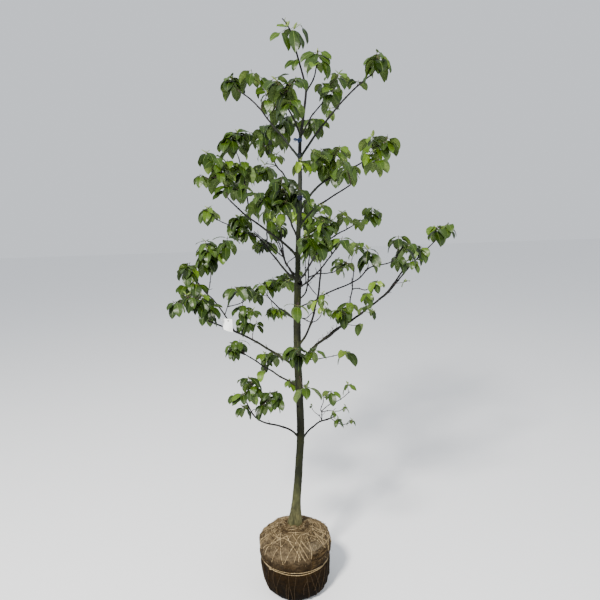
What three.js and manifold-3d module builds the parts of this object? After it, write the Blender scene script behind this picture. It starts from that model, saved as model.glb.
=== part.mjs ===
// Flowering dogwood, balled and burlapped nursery stock: one clear trunk on a burlapped root
// ball, opposite spreading boughs, and open masses of foliage at their ends.
// Millimetres, +Z up. The origin is the centre of the root ball's flat underside.

import * as THREE from "three";
import { mergeVertices } from "three/addons/utils/BufferGeometryUtils.js";
import Module from "manifold-3d";

const wasm = await Module();
wasm.setup();

// ---------------------------------------------------------------- driving dimensions
const GAP = 0.4;             // clearance between touching pieces
const BALL_TOP = 300;        // height of the root ball, where the trunk's flat cut stands
const BALL_SIDES = 24;
const TRUNK_SIDES = 12;
const TRUNK_STEPS = 27;
const BOUGH_SIDES = 6;
const BOUGH_STEP = 88;       // length of one step along a bough
const FLARE = 31;            // extra diameter of the root flare at the collar
const FLARE_HEIGHT = 72;     // height over which the flare dies away
const UNEVEN = 0.13;         // how far a mass of foliage departs from a smooth form
const LOBE_SIDES = 7;        // facets round and up one lobe of a mass
const LOBE_RINGS = 5;
const NECK_SHARE = 0.24;     // radius of the neck between lobes set apart, as a share of the narrower

// root ball: [height, radius] up its side
const BALL_PROFILE = [
  [0, 118], [14, 126], [40, 136], [80, 149], [118, 157], [144, 159], [175, 164], [222, 165],
  [240, 161], [252, 153], [270, 118], [288, 78], [BALL_TOP, 50],
];

// trunk: [height, lean to +X, lean to +Y, diameter without the flare]
const TRUNK = [
  [300.4, 3, 0, 34], [420, 14, 2, 33.5], [520, 25, 3, 32.5], [620, 34, 2, 31.8], [712, 42, 0, 31.2],
  [807, 45, -2, 30.8], [950, 44, -3, 30.2], [1130, 42, -1, 29.4], [1267, 45, 2, 28.2],
  [1360, 50, 3, 27], [1430, 53, 3, 25], [1487, 56, 3, 20.5], [1637, 63, 0, 17.5],
  [1742, 72, -3, 16.2], [1867, 78, -3, 14.6], [1949, 80, 0, 13], [2030, 84, 2, 11],
  [2110, 98, 2, 9], [2229, 115, -1, 6.8], [2262, 109, -2, 6], [2296, 101, -1, 5.4],
  [2370, 82, 2, 4.6], [2417, 71, 3, 4.2], [2455, 61, 2, 3.8], [2490, 42, 0, 3.2], [2507, 27, -2, 2.8],
];

// boughs: [name, what carries it, where on that (height on the trunk, or share of the bough's
// length), compass angle from +X, reach, rise, bow near the trunk and near the tip (upward),
// swing near the trunk and near the tip (sideways), diameter at the foot and at the tip]
const BOUGHS = [
  ["top_fork", "trunk", 2224, -47, 68, 98, -16, -18, 8, 13, 5.0, 2.6],
  ["top_left", "trunk", 1957, 154, 277, 300, -5, 44, 1, -12, 8.0, 3.2],
  ["top_right", "trunk", 1957, -29, 326, 285, 29, 38, -2, -8, 8.4, 3.2],
  ["upper_left", "trunk", 2042, -110, 215, 136, 16, 7, 13, 0, 6.0, 3.0],
  ["upper_right", "trunk", 2034, 59, 231, 195, 16, 7, 17, 9, 6.0, 3.0],
  ["right_mid", "trunk", 1730, 23, 365, 254, 112, -26, 27, -4, 9.5, 3.4],
  ["right_front", "trunk", 1670, -57, 356, 151, 37, 11, -3, 3, 7.5, 3.0],
  ["front_upper", "trunk", 1616, -104, 268, 139, 9, 15, 4, 10, 7.0, 3.2],
  ["back_left", "trunk", 1772, 115, 334, 252, 2, -7, -14, -3, 7.0, 3.0],
  ["left_mid", "trunk", 1542, -156, 299, 254, 27, -25, 3, -8, 9.5, 3.4],
  ["left_mid_side", "left_mid", 0.70, 112, 119, 254, 1, 1, -3, -7, 5.0, 2.8],
  ["left_rear", "trunk", 1438, 130, 310, 208, -24, 5, 9, -10, 8.5, 3.2],
  ["back_inner", "trunk", 1460, 103, 428, 154, -32, -12, 27, 4, 7.5, 3.0],
  ["front_right", "trunk", 1430, -78, 391, 155, 4, 13, 10, -3, 8.0, 3.2],
  ["rear_right", "trunk", 1526, 51, 433, 137, 3, 1, 12, 10, 8.0, 3.2],
  ["right_inner", "trunk", 1150, -56, 193, 356, -55, -22, 35, 29, 8.5, 4.6],
  ["right_inner_side", "right_inner", 0.67, -36, 243, 141, 15, -47, -4, 20, 5.0, 3.0],
  ["right_low", "trunk", 1064, 12, 507, 406, 62, -106, 6, -11, 11.5, 4.6],
  ["right_low_side", "right_low", 0.49, 79, 218, 214, 13, -6, 17, -0, 5.0, 2.8],
  ["left_low", "trunk", 1046, -159, 389, 256, 30, 25, 0, 0, 10.0, 4.0],
  ["left_low_side", "left_low", 0.73, 142, 214, 203, 22, 2, -11, -3, 5.0, 3.0],
  ["rear_left", "trunk", 1266, 112, 407, 68, -11, -22, -3, 9, 7.0, 3.0],
  ["lower_left", "trunk", 968, 139, 370, 104, -14, -3, -0, -5, 7.5, 3.2],
  ["foot_left", "trunk", 712, -144, 272, 248, 73, -125, 16, -52, 8.0, 3.2],
  ["foot_right", "trunk", 693, 48, 268, 56, 50, 6, 30, 8, 8.0, 3.2],
  ["front_low", "trunk", 1060, -87, 339, 121, 2, 2, -1, -1, 6.5, 3.0],
];

// masses of foliage: [name, limb that carries it, lobes]. A lobe is [out, across, up, width,
// height] from the tip of its bough, along and across the bough's compass angle. On the trunk
// it is [height, +X, +Y, width, height] from the trunk's axis.
const MASSES = [["crown_tip", "trunk", [[2471, -23, -1, 89, 85], [2407, 10, -33, 80, 86], [2334, -34, -21, 73, 71]]],
  ["crown_fork", "top_fork", [[-3, -3, 8, 124, 91], [-13, 30, -34, 89, 53]]],
  ["top_left", "top_left", [[28, 2, 28, 126, 137]]],
  ["top_left_side", "top_left", [[-99, 30, 38, 151, 121], [-124, -4, -48, 102, 118]]],
  ["top_right", "top_right", [[24, 2, 29, 106, 111], [-38, 2, -31, 77, 52]]],
  ["upper_left", "upper_left", [[-53, 29, 37, 130, 67], [-5, 13, -40, 117, 103], [-37, -15, -109, 93, 115]]],
  ["upper_right", "upper_right", [[51, -47, 80, 104, 97], [2, -4, 13, 117, 142], [-55, 14, -114, 107, 133]]],
  ["right_mid", "right_mid", [[51, -11, 21, 161, 133], [-32, -8, -62, 124, 106]]],
  ["right_shoulder", "right_mid", [[-341, -40, -63, 125, 132], [-250, -24, -36, 127, 109], [-160, 3, -66, 113, 139]]],
  ["right_front", "right_front", [[12, 0, 31, 88, 87]]],
  ["front_upper", "front_upper", [[-27, 25, 37, 99, 121], [28, -31, 1, 149, 119]]],
  ["back_left", "back_left", [[9, 20, 42, 137, 169], [-14, 40, -94, 132, 131]]],
  ["left_mid", "left_mid", [[77, -23, 45, 112, 87], [-8, 4, 12, 128, 84], [67, -30, 116, 100, 95]]],
  ["left_mid_side", "left_mid_side", [[5, 13, 54, 135, 126], [-5, 14, -67, 132, 119]]],
  ["left_rear", "left_rear", [[47, 40, 25, 152, 123], [128, 152, 86, 141, 85]]],
  ["back_inner", "back_inner", [[21, 0, 20, 122, 87], [-3, 79, -42, 121, 76]]],
  ["front_right", "front_right", [[-5, -24, 26, 108, 93], [-8, 58, 11, 112, 101]]],
  ["rear_right", "rear_right", [[76, -63, 36, 123, 109], [-6, 7, 20, 147, 98], [-106, 69, 9, 135, 92], [-211, 104, 17, 85, 113]]],
  ["right_inner", "right_inner", [[7, -7, 25, 96, 96]]],
  ["right_inner_side", "right_inner_side", [[10, 7, 31, 108, 85], [61, 33, 53, 77, 65], [106, 53, 78, 99, 76]]],
  ["right_far", "right_low", [[177, 5, 137, 146, 137], [79, 4, 59, 118, 100], [-4, 1, 9, 126, 81]]],
  ["right_low_side", "right_low_side", [[13, -15, 90, 96, 86], [-9, 47, 26, 144, 86]]],
  ["right_low_near", "right_low", [[-364, -48, -191, 113, 72], [-276, -46, -171, 131, 94], [-161, -8, -103, 116, 111]]],
  ["left_far", "left_low", [[116, -12, 59, 105, 104], [5, -2, 50, 140, 105]]],
  ["left_low_side", "left_low_side", [[22, 30, -37, 114, 87], [5, 4, 36, 131, 87], [-55, -82, 105, 186, 123]]],
  ["left_low_near", "left_low", [[-178, -18, -29, 137, 152], [-147, -62, 76, 112, 85]]],
  ["rear_left", "rear_left", [[28, 17, 14, 174, 121], [-42, -78, 39, 101, 100], [-12, -30, -78, 143, 89]]],
  ["lower_left", "lower_left", [[26, 9, 8, 127, 105], [-91, -65, -41, 146, 102]]],
  ["foot_left", "foot_left", [[18, -0, 26, 125, 119], [-81, 46, 24, 151, 136]]],
  ["foot_right", "foot_right", [[-40, 30, 26, 166, 126], [42, -32, 71, 157, 170]]],
  ["front_low", "front_low", [[20, 3, 9, 161, 70]]],
];

const COLOURS = {
  trunk: [0x7d7560, 0.85], bough: [0x4b4038, 0.8], leaves: [0x5c8a35, 0.6], root_ball: [0x9a7c55, 0.95],
};

// ---------------------------------------------------------------- helpers
function random(seed) {               // small seeded generator
  let s = (seed * 2654435761) >>> 0;
  return () => {
    s = (s + 0x6d2b79f5) >>> 0;
    let t = Math.imul(s ^ (s >>> 15), 1 | s);
    t = (t + Math.imul(t ^ (t >>> 7), 61 | t)) ^ t;
    return ((t ^ (t >>> 14)) >>> 0) / 4294967296;
  };
}

function unevenness(seed) {           // smooth bumps over a sphere of directions, about -1 to 1
  const next = random(seed);
  const waves = [];
  for (let i = 0; i < 6; i++) {
    const axis = new THREE.Vector3(next() - 0.5, next() - 0.5, next() - 0.5).normalize();
    waves.push([axis, 2 + 2.6 * next(), 6.28 * next()]);
  }
  return (d) => {
    let sum = 0;
    for (const [axis, rate, phase] of waves) sum += Math.sin(rate * axis.dot(d) * 1.9 + phase);
    return sum / 2.6;
  };
}

function trunkAt(height) {            // centre and diameter, smoothly through the rows of TRUNK
  let i = 0;
  while (i < TRUNK.length - 2 && height > TRUNK[i + 1][0]) i++;
  const a = TRUNK[Math.max(i - 1, 0)], b = TRUNK[i], c = TRUNK[i + 1], d = TRUNK[Math.min(i + 2, TRUNK.length - 1)];
  const span = c[0] - b[0], t = THREE.MathUtils.clamp((height - b[0]) / span, 0, 1);
  const value = (k) => {
    const m0 = ((c[k] - a[k]) / (c[0] - a[0])) * span;
    const m1 = ((d[k] - b[k]) / (d[0] - b[0])) * span;
    const t2 = t * t, t3 = t2 * t;
    return b[k] * (2 * t3 - 3 * t2 + 1) + m0 * (t3 - 2 * t2 + t) + c[k] * (3 * t2 - 2 * t3) + m1 * (t3 - t2);
  };
  const rise = height - TRUNK[0][0];
  const flare = FLARE * Math.exp(-Math.pow(rise / FLARE_HEIGHT, 1.3));
  return { centre: new THREE.Vector3(value(1), value(2), height), diameter: value(3) + flare };
}

function solid(geometry) {            // closed geometry to a solid that can be cut
  geometry.deleteAttribute("normal");
  geometry.deleteAttribute("uv");
  const merged = mergeVertices(geometry, 1e-4);
  return new wasm.Manifold(new wasm.Mesh({
    numProp: 3,
    vertProperties: new Float32Array(merged.attributes.position.array),
    triVerts: new Uint32Array(merged.index.array),
  }));
}

function largest(body) {              // the biggest connected body of a solid
  const bodies = body.decompose();
  return bodies.reduce((a, b) => (b.volume() > a.volume() ? b : a));
}

function geometryOf(body) {
  const mesh = body.getMesh();
  const points = new Float32Array(mesh.numVert * 3);
  for (let i = 0; i < mesh.numVert; i++) {
    for (let k = 0; k < 3; k++) points[3 * i + k] = mesh.vertProperties[mesh.numProp * i + k];
  }
  const geometry = new THREE.BufferGeometry();
  geometry.setAttribute("position", new THREE.BufferAttribute(points, 3));
  geometry.setIndex(new THREE.BufferAttribute(new Uint32Array(mesh.triVerts), 1));
  geometry.computeVertexNormals();
  return geometry;
}

// A closed tapering tube: a capped cylinder whose rings are laid along a path.
// place(t) gives { centre, radius, side, up } of the ring at share t of the length.
function tube(place, sides, steps) {
  const geometry = new THREE.CylinderGeometry(1, 1, 1, sides, steps);
  const p = geometry.attributes.position;
  for (let i = 0; i < p.count; i++) {
    const { centre, radius, side, up } = place(p.getY(i) + 0.5);
    const v = centre.clone()
      .addScaledVector(side, p.getX(i) * radius)
      .addScaledVector(up, -p.getZ(i) * radius);
    p.setXYZ(i, v.x, v.y, v.z);
  }
  return solid(geometry);
}

// ---------------------------------------------------------------- root ball
function rootBall() {
  const profile = [new THREE.Vector2(0, 0)];
  for (const [height, radius] of BALL_PROFILE) profile.push(new THREE.Vector2(radius, height));
  profile.push(new THREE.Vector2(0, BALL_TOP));
  const geometry = new THREE.LatheGeometry(profile, BALL_SIDES);
  geometry.rotateX(Math.PI / 2);
  const bumps = unevenness(11);
  const p = geometry.attributes.position;
  for (let i = 0; i < p.count; i++) {
    const v = new THREE.Vector3(p.getX(i), p.getY(i), p.getZ(i));
    if (v.z > 1 && v.z < BALL_TOP - 1) {
      const d = v.clone().sub(new THREE.Vector3(0, 0, 150)).normalize();
      const k = 1 + 0.018 * bumps(d);
      v.x *= k;
      v.y *= k;
    }
    p.setXYZ(i, v.x, v.y, v.z);
  }
  return solid(geometry);
}

// ---------------------------------------------------------------- trunk
function trunk(grow) {
  const foot = TRUNK[0][0], tip = TRUNK[TRUNK.length - 1][0];
  const east = new THREE.Vector3(1, 0, 0), north = new THREE.Vector3(0, 1, 0);
  return tube((t) => {
    const height = foot + (tip - foot) * (t < 0.12 ? t * t / 0.24 + t * 0.5 : t);
    const { centre, diameter } = trunkAt(height);
    return { centre, radius: diameter / 2 + grow, side: east, up: north };
  }, TRUNK_SIDES, TRUNK_STEPS);
}

// ---------------------------------------------------------------- boughs
const boughs = new Map();
for (const [name, carrier, at, compass, reach, rise, bowNear, bowFar, swingNear, swingFar, foot, tip] of BOUGHS) {
  const angle = THREE.MathUtils.degToRad(compass);
  const out = new THREE.Vector3(Math.cos(angle), Math.sin(angle), 0);
  const across = new THREE.Vector3(-out.y, out.x, 0);
  const start = carrier === "trunk" ? trunkAt(at).centre : boughs.get(carrier).curve.getPoint(at);
  const end = start.clone().addScaledVector(out, reach).add(new THREE.Vector3(0, 0, rise));
  const near = start.clone().lerp(end, 1 / 3).addScaledVector(across, swingNear);
  const far = start.clone().lerp(end, 2 / 3).addScaledVector(across, swingFar);
  near.z += bowNear;
  far.z += bowFar;
  const curve = new THREE.CubicBezierCurve3(start, near, far, end);
  boughs.set(name, { name, carrier, curve, out, across, foot, tip, end });
}

function limb(bough, grow) {
  const steps = Math.max(3, Math.round(bough.curve.getLength() / BOUGH_STEP));
  return tube((t) => {
    const centre = bough.curve.getPoint(t);
    const along = bough.curve.getTangent(t);
    const side = new THREE.Vector3().crossVectors(new THREE.Vector3(0, 0, 1), along).normalize();
    const up = new THREE.Vector3().crossVectors(along, side).normalize();
    return { centre, radius: THREE.MathUtils.lerp(bough.foot, bough.tip, t) / 2 + grow, side, up };
  }, BOUGH_SIDES, steps);
}

// ---------------------------------------------------------------- masses of foliage
function neck(from, to, radius) {     // slim body that joins two lobes set apart
  const geometry = new THREE.OctahedronGeometry(1, 0);
  const span = to.clone().sub(from);
  geometry.scale(radius, span.length() * 0.5, radius);
  geometry.applyQuaternion(new THREE.Quaternion().setFromUnitVectors(new THREE.Vector3(0, 1, 0), span.clone().normalize()));
  geometry.translate((from.x + to.x) / 2, (from.y + to.y) / 2, (from.z + to.z) / 2);
  return solid(geometry);
}

function mass(seed, carrier, lobes, grow, necks) {
  let body = null, last = null;
  lobes.forEach(([a, b, c, width, height], k) => {
    const centre = carrier === "trunk"
      ? trunkAt(a).centre.add(new THREE.Vector3(b, c, 0))
      : boughs.get(carrier).end.clone()
        .addScaledVector(boughs.get(carrier).out, a)
        .addScaledVector(boughs.get(carrier).across, b)
        .add(new THREE.Vector3(0, 0, c));
    const geometry = new THREE.SphereGeometry(1, LOBE_SIDES, LOBE_RINGS);
    geometry.rotateX(Math.PI / 2);
    geometry.rotateZ(seed + k);
    const bumps = unevenness(seed * 7 + k);
    const p = geometry.attributes.position;
    for (let i = 0; i < p.count; i++) {
      const d = new THREE.Vector3(p.getX(i), p.getY(i), p.getZ(i)).normalize();
      const k1 = 1 + UNEVEN * THREE.MathUtils.clamp(bumps(d), -1, 1);
      p.setXYZ(i,
        centre.x + d.x * (k1 * width / 2 + grow),
        centre.y + d.y * (k1 * width / 2 + grow),
        centre.z + d.z * (k1 * height / 2 + grow));
    }
    const lobe = solid(geometry);
    body = body ? body.add(lobe) : lobe;
    if (last) {
      if (necks.has(k) || (grow === 0 && body.decompose().length > 1)) {
        necks.add(k);
        body = body.add(neck(centre, last.centre, NECK_SHARE * Math.min(width, last.width) + grow));
      }
    }
    last = { centre, width };
  });
  return body;
}

// ---------------------------------------------------------------- put together
const pieces = new Map();
const trunkBody = trunk(0), trunkGrown = trunk(GAP);
pieces.set("root_ball", [rootBall(), "root_ball"]);
pieces.set("trunk", [trunkBody, "trunk"]);

const massOf = new Map();
MASSES.forEach(([name, carrier, lobes], i) => {
  const necks = new Set();             // which lobes need a neck to the one before
  massOf.set(name, {
    name, carrier,
    body: mass(i + 1, carrier, lobes, 0, necks),
    grown: mass(i + 1, carrier, lobes, GAP, necks),
  });
});

const cut = (body, tool) => (body.intersect(tool).isEmpty() ? body : body.subtract(tool));

const limbs = new Map();
for (const bough of boughs.values()) {
  let body = cut(limb(bough, 0), trunkGrown);
  if (bough.carrier !== "trunk") body = cut(body, limb(boughs.get(bough.carrier), GAP));
  const own = massOf.get(bough.name);
  if (own) body = cut(body, own.grown);
  limbs.set(bough.name, largest(body));
}
for (const [name, body] of limbs) pieces.set("bough_" + name, [body, "bough"]);

const done = [];
for (const one of massOf.values()) {
  let body = cut(one.body, trunkGrown);
  for (const bough of boughs.values()) {
    if (bough.name !== one.name) body = cut(body, limb(bough, GAP));
  }
  for (const other of done) body = cut(body, other.grown);
  done.push(one);
  pieces.set("leaves_" + one.name, [largest(body), "leaves"]);
}

const tree = new THREE.Group();
for (const [name, [body, kind]] of pieces) {
  const [colour, roughness] = COLOURS[kind];
  const material = new THREE.MeshStandardMaterial({ color: colour, roughness, metalness: 0 });
  const mesh = new THREE.Mesh(geometryOf(body), material);
  mesh.name = name;
  tree.add(mesh);
}

export default tree;
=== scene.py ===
import math

import bpy
import numpy as np
from mathutils import Matrix, Vector


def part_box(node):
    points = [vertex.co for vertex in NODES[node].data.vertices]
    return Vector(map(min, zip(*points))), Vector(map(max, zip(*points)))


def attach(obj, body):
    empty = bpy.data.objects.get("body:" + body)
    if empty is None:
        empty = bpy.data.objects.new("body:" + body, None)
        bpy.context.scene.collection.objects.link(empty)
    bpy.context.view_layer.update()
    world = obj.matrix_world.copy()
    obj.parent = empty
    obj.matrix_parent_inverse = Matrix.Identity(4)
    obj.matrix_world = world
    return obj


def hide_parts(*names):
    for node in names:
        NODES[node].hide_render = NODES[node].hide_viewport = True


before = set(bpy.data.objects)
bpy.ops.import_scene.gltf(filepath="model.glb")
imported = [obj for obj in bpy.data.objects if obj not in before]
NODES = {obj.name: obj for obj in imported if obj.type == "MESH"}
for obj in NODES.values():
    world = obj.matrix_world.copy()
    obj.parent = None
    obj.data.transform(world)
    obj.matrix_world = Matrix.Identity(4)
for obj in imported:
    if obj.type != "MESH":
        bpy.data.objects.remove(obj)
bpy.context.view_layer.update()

MM = 0.001

# ------------------------------------------------------------------ sizes
# the same tables as the solids, in millimetres
BALL_PROFILE = [
    (0, 0), (60, 0), (104, 0.6), (119, 3.5), (127, 9), (134, 17), (143, 31), (150, 60), (155, 90),
    (158, 118), (159.5, 144), (163, 172), (165, 195), (165, 220), (162, 238), (154, 250), (134, 261),
    (110, 272), (85, 283), (60, 294), (40, 304), (26, 311),
]

TRUNK = [
    [300.4, 3, 0, 34], [420, 14, 2, 33.5], [520, 25, 3, 32.5], [620, 34, 2, 31.8], [712, 42, 0, 31.2],
    [807, 45, -2, 30.8], [950, 44, -3, 30.2], [1130, 42, -1, 29.4], [1267, 45, 2, 28.2],
    [1360, 50, 3, 27], [1430, 53, 3, 25], [1487, 56, 3, 20.5], [1637, 63, 0, 17.5],
    [1742, 72, -3, 16.2], [1867, 78, -3, 14.6], [1949, 80, 0, 13], [2030, 84, 2, 11],
    [2110, 98, 2, 9.4], [2229, 115, -1, 8.0], [2262, 109, -2, 7.4], [2296, 101, -1, 7.0],
    [2370, 82, 2, 6.4], [2417, 71, 3, 5.8], [2455, 61, 2, 5.0], [2490, 42, 0, 4.2], [2507, 27, -2, 3.4],
]
FLARE, FLARE_HEIGHT = 31, 72

# boughs: [name, what carries it, where on that (height on the trunk, or share of the bough's length),
# compass angle, reach, rise, bow near and far (upward), swing near and far (sideways), foot and tip diameter]
BOUGHS = [
    ["top_fork", "trunk", 2224, -47, 68, 98, -16, -18, 8, 13, 5.0, 2.6],
    ["top_left", "trunk", 1957, 154, 277, 300, -5, 44, 1, -12, 8.0, 3.2],
    ["top_right", "trunk", 1957, -29, 326, 285, 29, 38, -2, -8, 8.4, 3.2],
    ["upper_left", "trunk", 2042, -110, 215, 136, 16, 7, 13, 0, 6.0, 3.0],
    ["upper_right", "trunk", 2034, 59, 231, 195, 16, 7, 17, 9, 6.0, 3.0],
    ["right_mid", "trunk", 1730, 23, 365, 254, 112, -26, 27, -4, 9.5, 3.4],
    ["right_front", "trunk", 1670, -57, 356, 151, 37, 11, -3, 3, 7.5, 3.0],
    ["front_upper", "trunk", 1616, -104, 268, 139, 9, 15, 4, 10, 7.0, 3.2],
    ["back_left", "trunk", 1772, 115, 334, 252, 2, -7, -14, -3, 7.0, 3.0],
    ["left_mid", "trunk", 1542, -156, 299, 254, 27, -25, 3, -8, 9.5, 3.4],
    ["left_mid_side", "left_mid", 0.70, 112, 119, 254, 1, 1, -3, -7, 5.0, 2.8],
    ["left_rear", "trunk", 1438, 130, 310, 208, -24, 5, 9, -10, 8.5, 3.2],
    ["back_inner", "trunk", 1460, 103, 428, 154, -32, -12, 27, 4, 7.5, 3.0],
    ["front_right", "trunk", 1430, -78, 391, 155, 4, 13, 10, -3, 8.0, 3.2],
    ["rear_right", "trunk", 1526, 51, 433, 137, 3, 1, 12, 10, 8.0, 3.2],
    ["right_inner", "trunk", 1150, -56, 193, 356, -55, -22, 35, 29, 8.5, 4.6],
    ["right_inner_side", "right_inner", 0.67, -36, 243, 141, 15, -47, -4, 20, 5.0, 3.0],
    ["right_low", "trunk", 1064, 12, 507, 406, 62, -106, 6, -11, 11.5, 4.6],
    ["right_low_side", "right_low", 0.49, 79, 218, 214, 13, -6, 17, 0, 5.0, 2.8],
    ["left_low", "trunk", 1046, -159, 389, 256, 30, 25, 0, 0, 10.0, 4.0],
    ["left_low_side", "left_low", 0.73, 142, 214, 203, 22, 2, -11, -3, 5.0, 3.0],
    ["rear_left", "trunk", 1266, 112, 407, 68, -11, -22, -3, 9, 7.0, 3.0],
    ["lower_left", "trunk", 968, 139, 370, 104, -14, -3, 0, -5, 7.5, 3.2],
    ["foot_left", "trunk", 712, -144, 272, 248, 73, -125, 16, -52, 8.0, 3.2],
    ["foot_right", "trunk", 693, 48, 268, 56, 50, 6, 30, 8, 8.0, 3.2],
    ["front_low", "trunk", 1060, -87, 339, 121, 2, 2, -1, -1, 6.5, 3.0],
]

# masses of foliage: [name, limb, lobes]; a lobe is [out, across, up, width, height] from the limb's tip,
# or on the trunk [height, +X, +Y, width, height]
MASSES = [
    ["crown_tip", "trunk", [[2471, -23, -1, 89, 85], [2407, 10, -33, 80, 86], [2334, -34, -21, 73, 71]]],
    ["crown_fork", "top_fork", [[-3, -3, 8, 124, 91], [-13, 30, -34, 89, 53]]],
    ["top_left", "top_left", [[28, 2, 28, 126, 137]]],
    ["top_left_side", "top_left", [[-99, 30, 38, 151, 121], [-124, -4, -48, 102, 118]]],
    ["top_right", "top_right", [[24, 2, 29, 106, 111], [-38, 2, -31, 77, 52]]],
    ["upper_left", "upper_left", [[-53, 29, 37, 130, 67], [-5, 13, -40, 117, 103], [-37, -15, -109, 93, 115]]],
    ["upper_right", "upper_right", [[51, -47, 80, 104, 97], [2, -4, 13, 117, 142], [-55, 14, -114, 107, 133]]],
    ["right_mid", "right_mid", [[51, -11, 21, 161, 133], [-32, -8, -62, 124, 106]]],
    ["right_shoulder", "right_mid", [[-341, -40, -63, 125, 132], [-250, -24, -36, 127, 109], [-160, 3, -66, 113, 139]]],
    ["right_front", "right_front", [[12, 0, 31, 88, 87]]],
    ["front_upper", "front_upper", [[-27, 25, 37, 99, 121], [28, -31, 1, 149, 119]]],
    ["back_left", "back_left", [[9, 20, 42, 137, 169], [-14, 40, -94, 132, 131]]],
    ["left_mid", "left_mid", [[77, -23, 45, 112, 87], [-8, 4, 12, 128, 84], [67, -30, 116, 100, 95]]],
    ["left_mid_side", "left_mid_side", [[5, 13, 54, 135, 126], [-5, 14, -67, 132, 119]]],
    ["left_rear", "left_rear", [[47, 40, 25, 152, 123], [128, 152, 86, 141, 85]]],
    ["back_inner", "back_inner", [[21, 0, 20, 122, 87], [-3, 79, -42, 121, 76]]],
    ["front_right", "front_right", [[-5, -24, 26, 108, 93], [-8, 58, 11, 112, 101]]],
    ["rear_right", "rear_right", [[76, -63, 36, 123, 109], [-6, 7, 20, 147, 98], [-106, 69, 9, 135, 92], [-211, 104, 17, 85, 113]]],
    ["right_inner", "right_inner", [[7, -7, 25, 96, 96]]],
    ["right_inner_side", "right_inner_side", [[10, 7, 31, 108, 85], [61, 33, 53, 77, 65], [106, 53, 78, 99, 76]]],
    ["right_far", "right_low", [[177, 5, 137, 146, 137], [79, 4, 59, 118, 100], [-4, 1, 9, 126, 81]]],
    ["right_low_side", "right_low_side", [[13, -15, 90, 96, 86], [-9, 47, 26, 144, 86]]],
    ["right_low_near", "right_low", [[-364, -48, -191, 113, 72], [-276, -46, -171, 131, 94], [-161, -8, -103, 116, 111]]],
    ["left_far", "left_low", [[116, -12, 59, 105, 104], [5, -2, 50, 140, 105]]],
    ["left_low_side", "left_low_side", [[22, 30, -37, 114, 87], [5, 4, 36, 131, 87], [-55, -82, 105, 186, 123]]],
    ["left_low_near", "left_low", [[-178, -18, -29, 137, 152], [-147, -62, 76, 112, 85]]],
    ["rear_left", "rear_left", [[28, 17, 14, 174, 121], [-42, -78, 39, 101, 100], [-12, -30, -78, 143, 89]]],
    ["lower_left", "lower_left", [[26, 9, 8, 127, 105], [-91, -65, -41, 146, 102]]],
    ["foot_left", "foot_left", [[18, -0, 26, 125, 119], [-81, 46, 24, 151, 136]]],
    ["foot_right", "foot_right", [[-40, 30, 26, 166, 126], [42, -32, 71, 157, 170]]],
    ["front_low", "front_low", [[20, 3, 9, 161, 70]]],
]

# small sprays outside the masses: [name, limb, x, y, z of the twig end, leaf pairs, size, seed]
SPRAYS = [
    ["under_top_right", "top_right", 209, -30, 2144, 2, 0.55, 75],
    ["under_back_left", "back_left", -25, 220, 1999, 2, 0.7, 5],
    ["under_right_front", "right_front", 157, -180, 1752, 2, 0.7, 30],
    ["inner_left", "left_rear", 9, 120, 1426, 2, 0.7, 142],
    ["trunk_left", "trunk", 3, 40, 980, 2, 0.6, 3],
    ["front_middle", "trunk_only", 48, -190, 1361, 2, 0.8, 211],
    ["front_foot", "trunk_only", 72, -190, 1024, 2, 1.0, 134],
    ["back_right", "back_reach", 276, 220, 1062, 2, 0.95, 98],
    ["left_low_upper", "left_low", -207, -80, 1429, 3, 0.9, 43],
    ["right_one", "right_low", 316, 0, 1240, 1, 0.8, 183],
    ["right_two", "right_low", 382, 20, 1290, 1, 0.7, 62],
    ["right_three", "right_low", 536, 80, 1410, 1, 0.7, 109],
    ["right_inner_shoot", "right_inner", 151, -160, 1401, 2, 0.5, 158],
    ["lower_left_leaf", "lower_left", -133, 140, 1002, 1, 0.8, 72],
    ["wound_shoot", "trunk", 68, -50, 1482, 1, 0.35, 18],
    ["foot_a", "foot_right", 195, 150, 885, 2, 0.75, 155],
    ["foot_b", "foot_right", 282, 220, 895, 2, 0.6, 147],
    ["foot_c", "foot_right", 98, 140, 822, 1, 0.4, 109],
    ["foot_d", "foot_right", 208, 140, 784, 2, 0.45, 72],
    ["foot_e", "foot_right", 264, 200, 792, 2, 0.45, 66],
    ["foot_f", "foot_right", 224, 172, 738, 2, 0.65, 124],
    ["foot_g", "foot_right", 299, 240, 706, 2, 0.5, 1],
    ["foot_h", "foot_right", 174, 120, 881, 1, 0.35, 79],
]

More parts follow.
